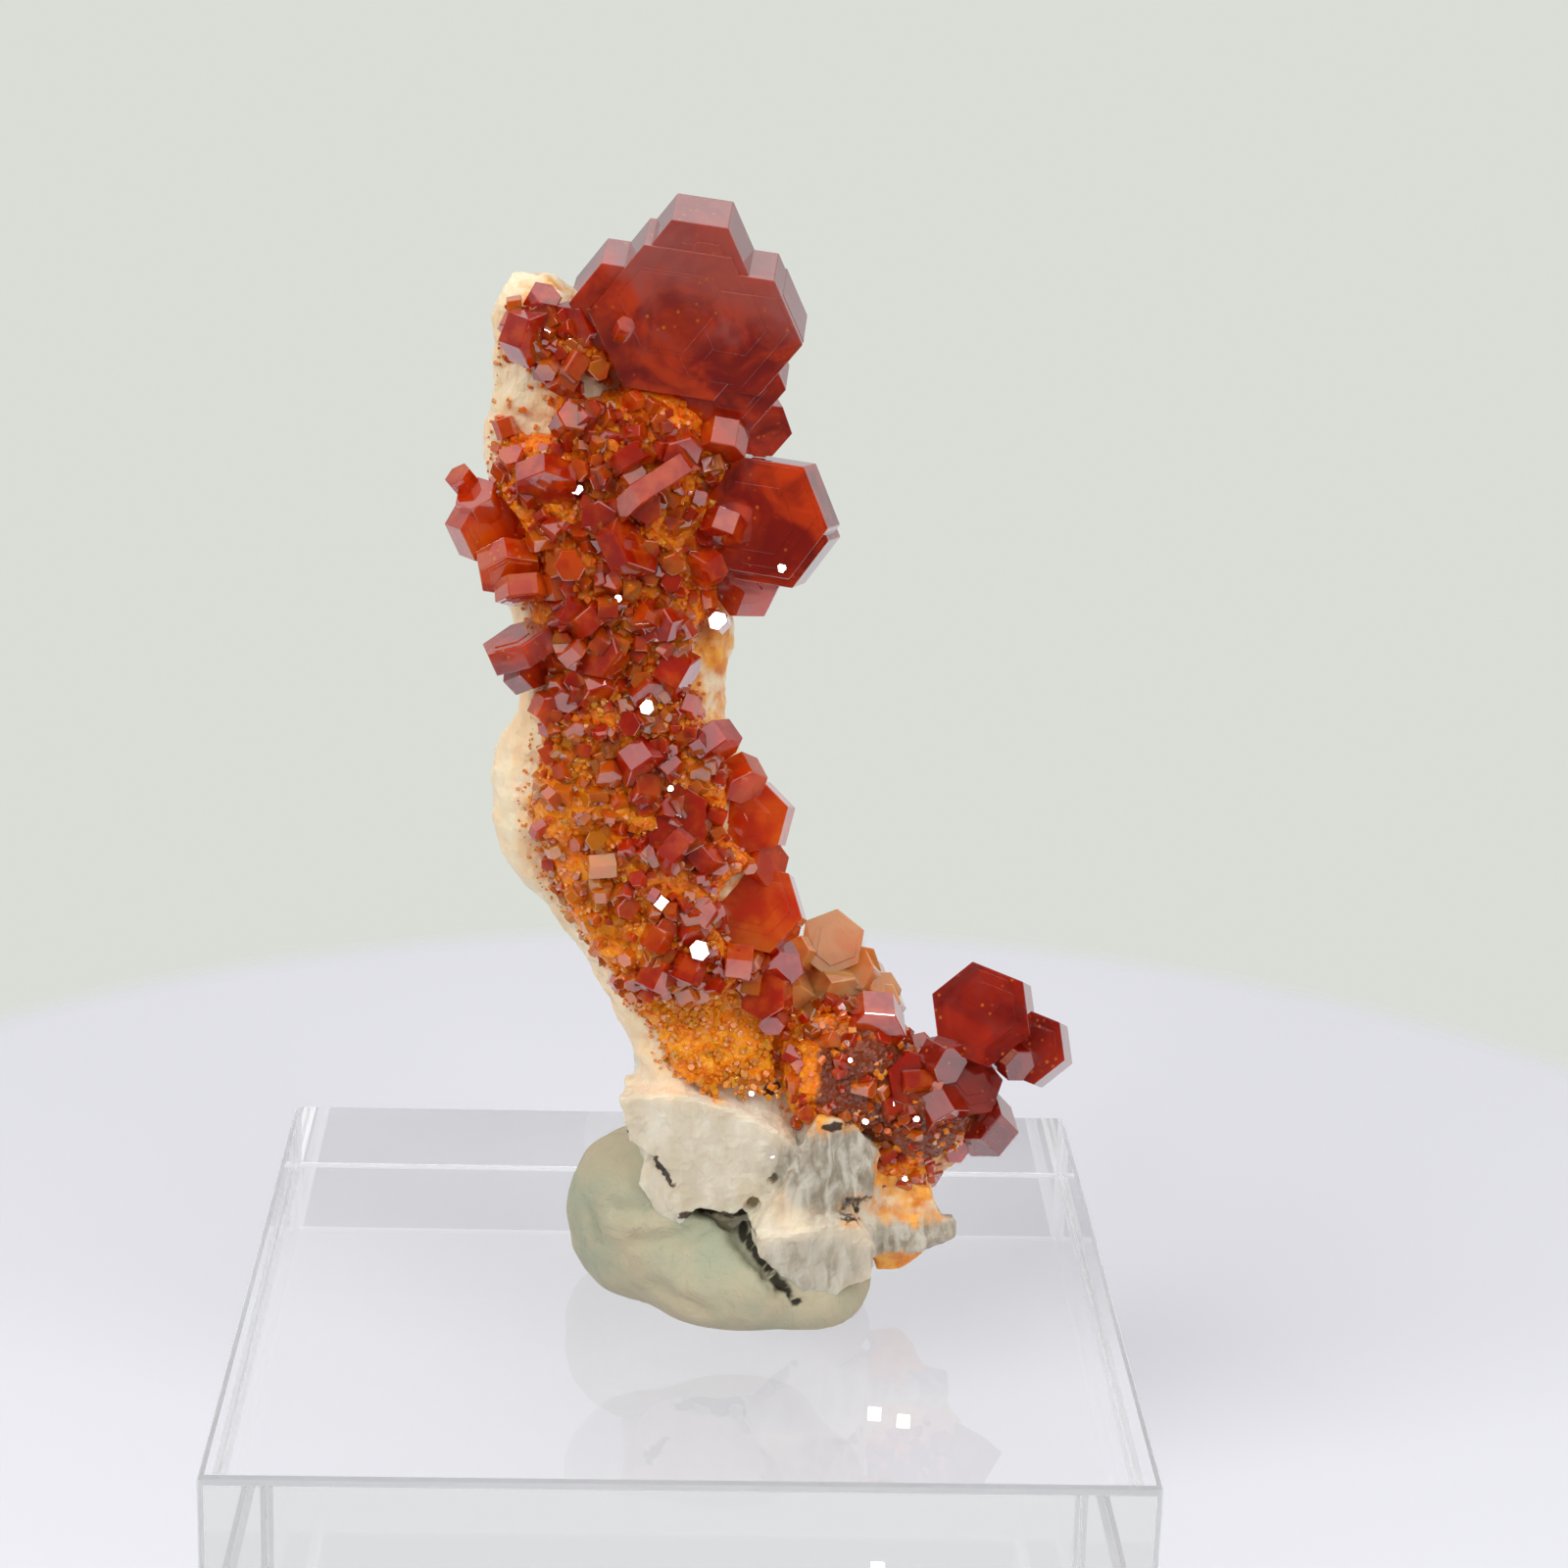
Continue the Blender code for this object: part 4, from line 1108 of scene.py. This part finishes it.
def arm_crust_piece():
    """Makes the crust over the arm."""
    made = joined(lumps(ARM_CRUST, 0.14, 5.0), "arm_crust")
    remeshed(made, grain=0.2, rounds=2)
    push(made, lambda place: 0.16 * noise.fractal(place * 1.8, 0.8, 2.2, 4))
    store(made, "honey", lambda place: fade(4.6, 6.2, place.x))
    store(made, "dark", arm_darkness)
    return made


# Tack


def crease_share(place, row):
    """Returns 1 along a crease of the tack's front and 0 beside it."""
    start, end, half_width = Vector(row[0]), Vector(row[1]), row[2]
    point = Vector((place.x, place.z))
    along = min(1.0, max(0.0, (point - start).dot(end - start) / (end - start).length_squared))
    away = (point - start.lerp(end, along)).length + 0.12 * noise.noise(place * 1.7)
    return fade(0.0, half_width, away) * fade(-2.5, -1.0, place.y)


def tack_relief(place):
    """Swells and creases the tack."""
    sunk = sum(row[3] * crease_share(place, row) for row in CREASES)
    swell = 0.22 * noise.noise(place * 0.5) + 0.10 * noise.noise(place * 1.1)
    return swell * smooth(BLOCK_TOP, BLOCK_TOP + 1, place.z) - sunk


def tack_piece():
    """Makes the pressed putty, flat on the block, with soft creases."""
    made = joined(lumps(TACK_LUMPS, 0.06), "putty")
    remeshed(made, grain=0.3, rounds=40)
    floor = BLOCK_TOP * MM
    for vertex in made.data.vertices:
        vertex.co.z = max(vertex.co.z, floor)
    made.data.update()
    push(made, tack_relief)
    # The deepest creases are marked for painted shade.
    deep = [row for row in CREASES if row[3] >= 0.5]
    store(made, "crease", lambda place: max(crease_share(place, row) for row in deep))
    made.data.shade_smooth()
    return made


# Stage, light and camera


def stage():
    """Makes the pale round table, whose rim fades into the backdrop."""
    shape = bmesh.new()
    bmesh.ops.create_circle(shape, cap_ends=True, segments=256, radius=TABLE_RADIUS)
    bmesh.ops.translate(shape, vec=TABLE_CENTRE, verts=shape.verts)
    paint = Paint("pale_table")
    away = paint.measure("DISTANCE", paint.place, Vector(TABLE_CENTRE) * MM)
    solid, faded = TABLE_FADE
    paint.set(Alpha=paint.span(away, faded * MM, solid * MM), Base_Color=(0.70, 0.695, 0.735, 1.0))
    paint.set(Roughness=paint.span(paint.noise(3.0), 0.3, 0.7, 0.85, 0.95))
    table = object_from(shape, "pale_table")
    finish(table, paint.material)


def sky():
    """Lights the scene softly from above, from behind and from two sides; the viewer's side is darker."""
    world = bpy.data.worlds.new("soft_light")
    bpy.context.scene.world = world
    world.use_nodes = True
    nodes = Nodes(world.node_tree)
    nodes.tree.nodes.clear()
    towards = nodes.add("TexCoord", {}).outputs["Generated"]
    direction = nodes.split(towards)
    depth = nodes.span(direction["Y"], -0.6, 0.8, 0.05, 0.44)
    below = nodes.span(direction["Z"], 0.0, -0.08, 1.0, 1.6, "LINEAR")
    glow = nodes.math("MULTIPLY", depth, below)
    zones = (towards, (0.0, 0.84, 0.54), 0.82), (nodes.absolute(towards), (0.84, 0.0, 0.54), 0.6)
    for facing, aim, power in zones:
        near = nodes.measure("DOT_PRODUCT", facing, aim)
        glow = nodes.math("MAXIMUM", glow, nodes.span(near, *BRIGHT_ZONE, 0.0, power, "LINEAR"))
    glow = nodes.math("MAXIMUM", glow, nodes.span(direction["Z"], 0.52, 0.74, 0.0, 0.95))
    light = nodes.add("Background", {"Color": (0.97, 0.98, 1.0, 1.0), "Strength": glow})
    seen = nodes.add("Background", {"Color": (0.700, 0.727, 0.675, 1.0)})
    straight = nodes.add("LightPath", {}).outputs["Is Camera Ray"]
    choice = nodes.add("MixShader", {"Fac": straight, 1: light.outputs[0], 2: seen.outputs[0]})
    nodes.add("OutputWorld", {"Surface": choice.outputs[0]})


def lamp(name, place, size, power, mirrored=True):
    """Adds a square light that faces the specimen; a soft one isn't mirrored."""
    data = bpy.data.lights.new(name, "AREA")
    data.size = size * MM
    data.energy = power
    made = placed(name, data)
    made.location = Vector(place) * MM
    made.rotation_euler = (Vector(place) - Vector(SPECIMEN_MIDDLE)).to_track_quat("Z", "Y").to_euler()
    made.visible_glossy = mirrored


def lights():
    """Adds two large soft lights, and small bright lamps for the glints."""
    lamp("key", (-210, -170, 220), 220, 0.70, False)
    lamp("fill", (200, -190, 170), 200, 0.50, False)
    lamp("glint_left", LEFT_LAMP, 26, 0.03)
    lamp("glint_right", (80, -240, 200), 26, 0.03)
    lamp("back_left", (24.9, 222.8, 124.0), 1.5, 0.0007)
    lamp("back_right", (28.2, 221.9, 124.4), 1.5, 0.0007)


def camera():
    """Puts the camera where the photograph was taken from."""
    right = Vector((0.99916648, -0.02916262, 0.02856372))
    up = Vector((-0.01862177, 0.29705571, 0.95467855))
    forward = Vector((0.03632594, 0.95441471, -0.29626505))
    data = bpy.data.cameras.new("view")
    data.lens = 81.28
    data.sensor_width = 36.0
    data.clip_start = 0.005
    made = placed("view", data)
    turned = Matrix((right, up, -forward)).transposed().to_4x4()
    made.matrix_world = Matrix.Translation(CAMERA_PLACE * MM) @ turned
    bpy.context.scene.camera = made


# Assembly


def stand_for(piece, node, surface):
    """Lets a piece take the place of a solid, with its own finish."""
    finish(piece, surface)
    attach(piece, "root")
    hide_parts(node)


def large_finishes():
    """Returns the finish of each group of large crystals."""
    # The crown's finish carries painted mauve reflection, thickest over its top.
    crown = large_vanadinite(
        "mauve_red_vanadinite",
        (0.30, 0.009, 0.002), (0.88, 0.080, 0.004), (0.56, 0.16, 0.135), 0.5, 450.0, (51.8, 54.6),
    )
    deep = large_vanadinite(
        "deep_red_vanadinite", (0.26, 0.008, 0.002), (0.50, 0.025, 0.003), (0.34, 0.06, 0.045), 0.5, 450.0
    )
    bright = large_vanadinite(
        "orange_red_vanadinite", (0.74, 0.045, 0.003), (0.97, 0.160, 0.006), (0.70, 0.15, 0.06), 0.5, 250.0
    )
    pale = large_vanadinite(
        "pale_orange_vanadinite", (0.92, 0.26, 0.04), (0.98, 0.45, 0.16), (0.95, 0.55, 0.34), 0.35, 60.0
    )
    return {
        "crown_crystals": crown,
        "shoulder_crystals": crown,
        "flank_crystals": bright,
        "left_tablet_crystals": crown,
        "right_edge_crystals": bright,
        "arm_back_crystals": pale,
        "arm_crystals": deep,
    }


def druse_pieces(draw, pale):
    """Makes the crusts and all crystals of the druse, each with its finish; those behind the arm are pale."""
    medium = Prisms(draw)
    medium.add_rows(MEDIUM_CRYSTALS, 0.04, 0.04, 0.6)
    blade_crystals(medium, 75, (0.45, 0.85), bias=0.5, spread=-0.03, sink=0.1, bottom=NECK_TOP, sparse=0.0)
    arm_crystals(medium, 20, (0.4, 0.7), bias=0.5, sink=0.1)
    back = Prisms(draw)
    back.add_rows(BACK_CRYSTALS, 0.05, 0.06, 1.0)
    small = Prisms(draw)
    mirror_crystals(small)
    small_end = NECK_TOP - 0.5
    blade_crystals(small, 800, (0.18, 0.5), bias=0.4, spread=0.0, sink=0.2, bottom=small_end, sparse=0.05)
    arm_crystals(small, 300, (0.16, 0.4), bias=0.6, sink=0.25)
    tiny = Prisms(draw)
    blade_crystals(tiny, 3000, (0.07, 0.17), bias=0.8, spread=0.08, sink=0.4, bottom=DRUSE_FOOT, sparse=0.3)
    arm_crystals(tiny, 700, (0.08, 0.18), bias=0.8, sink=0.4)
    amber = crust()
    red = druse_vanadinite("red_druse_vanadinite", (0.58, 0.018, 0.002), (0.98, 0.12, 0.004), 0.5)
    orange = druse_vanadinite("orange_druse_vanadinite", (0.72, 0.03, 0.002), (0.99, 0.18, 0.005), 0.45)
    yellow = druse_vanadinite("amber_druse_vanadinite", (0.98, 0.17, 0.006), (1.0, 0.36, 0.02), 0.2, 0.0002)
    return (
        (crust_piece(), amber),
        (arm_crust_piece(), amber),
        (medium.build("medium_druse"), red),
        (back.build("back_druse"), pale),
        (small.build("small_druse"), orange),
        (tiny.build("tiny_druse"), yellow),
    )


def build():
    """Dresses the whole part."""
    bpy.context.scene.view_settings.view_transform = "Standard"
    camera()
    stage()
    sky()
    lights()
    draw = random.Random(SEED)
    finishes = large_finishes()
    for node, rows in LARGE_CRYSTALS.items():
        group = large_group(draw, node.replace("crystals", "group"), rows)
        stand_for(group, node, finishes[node])
    block = bpy.data.objects["acrylic_base"]
    finish(block, acrylic())
    block.visible_shadow = False
    block.visible_diffuse = False
    stand_for(barite_piece(), "barite_matrix", barite())
    stand_for(tack_piece(), "mineral_tack", tack())
    for piece, surface in druse_pieces(draw, finishes["arm_back_crystals"]):
        stand_for(piece, "vanadinite_druse", surface)


build()
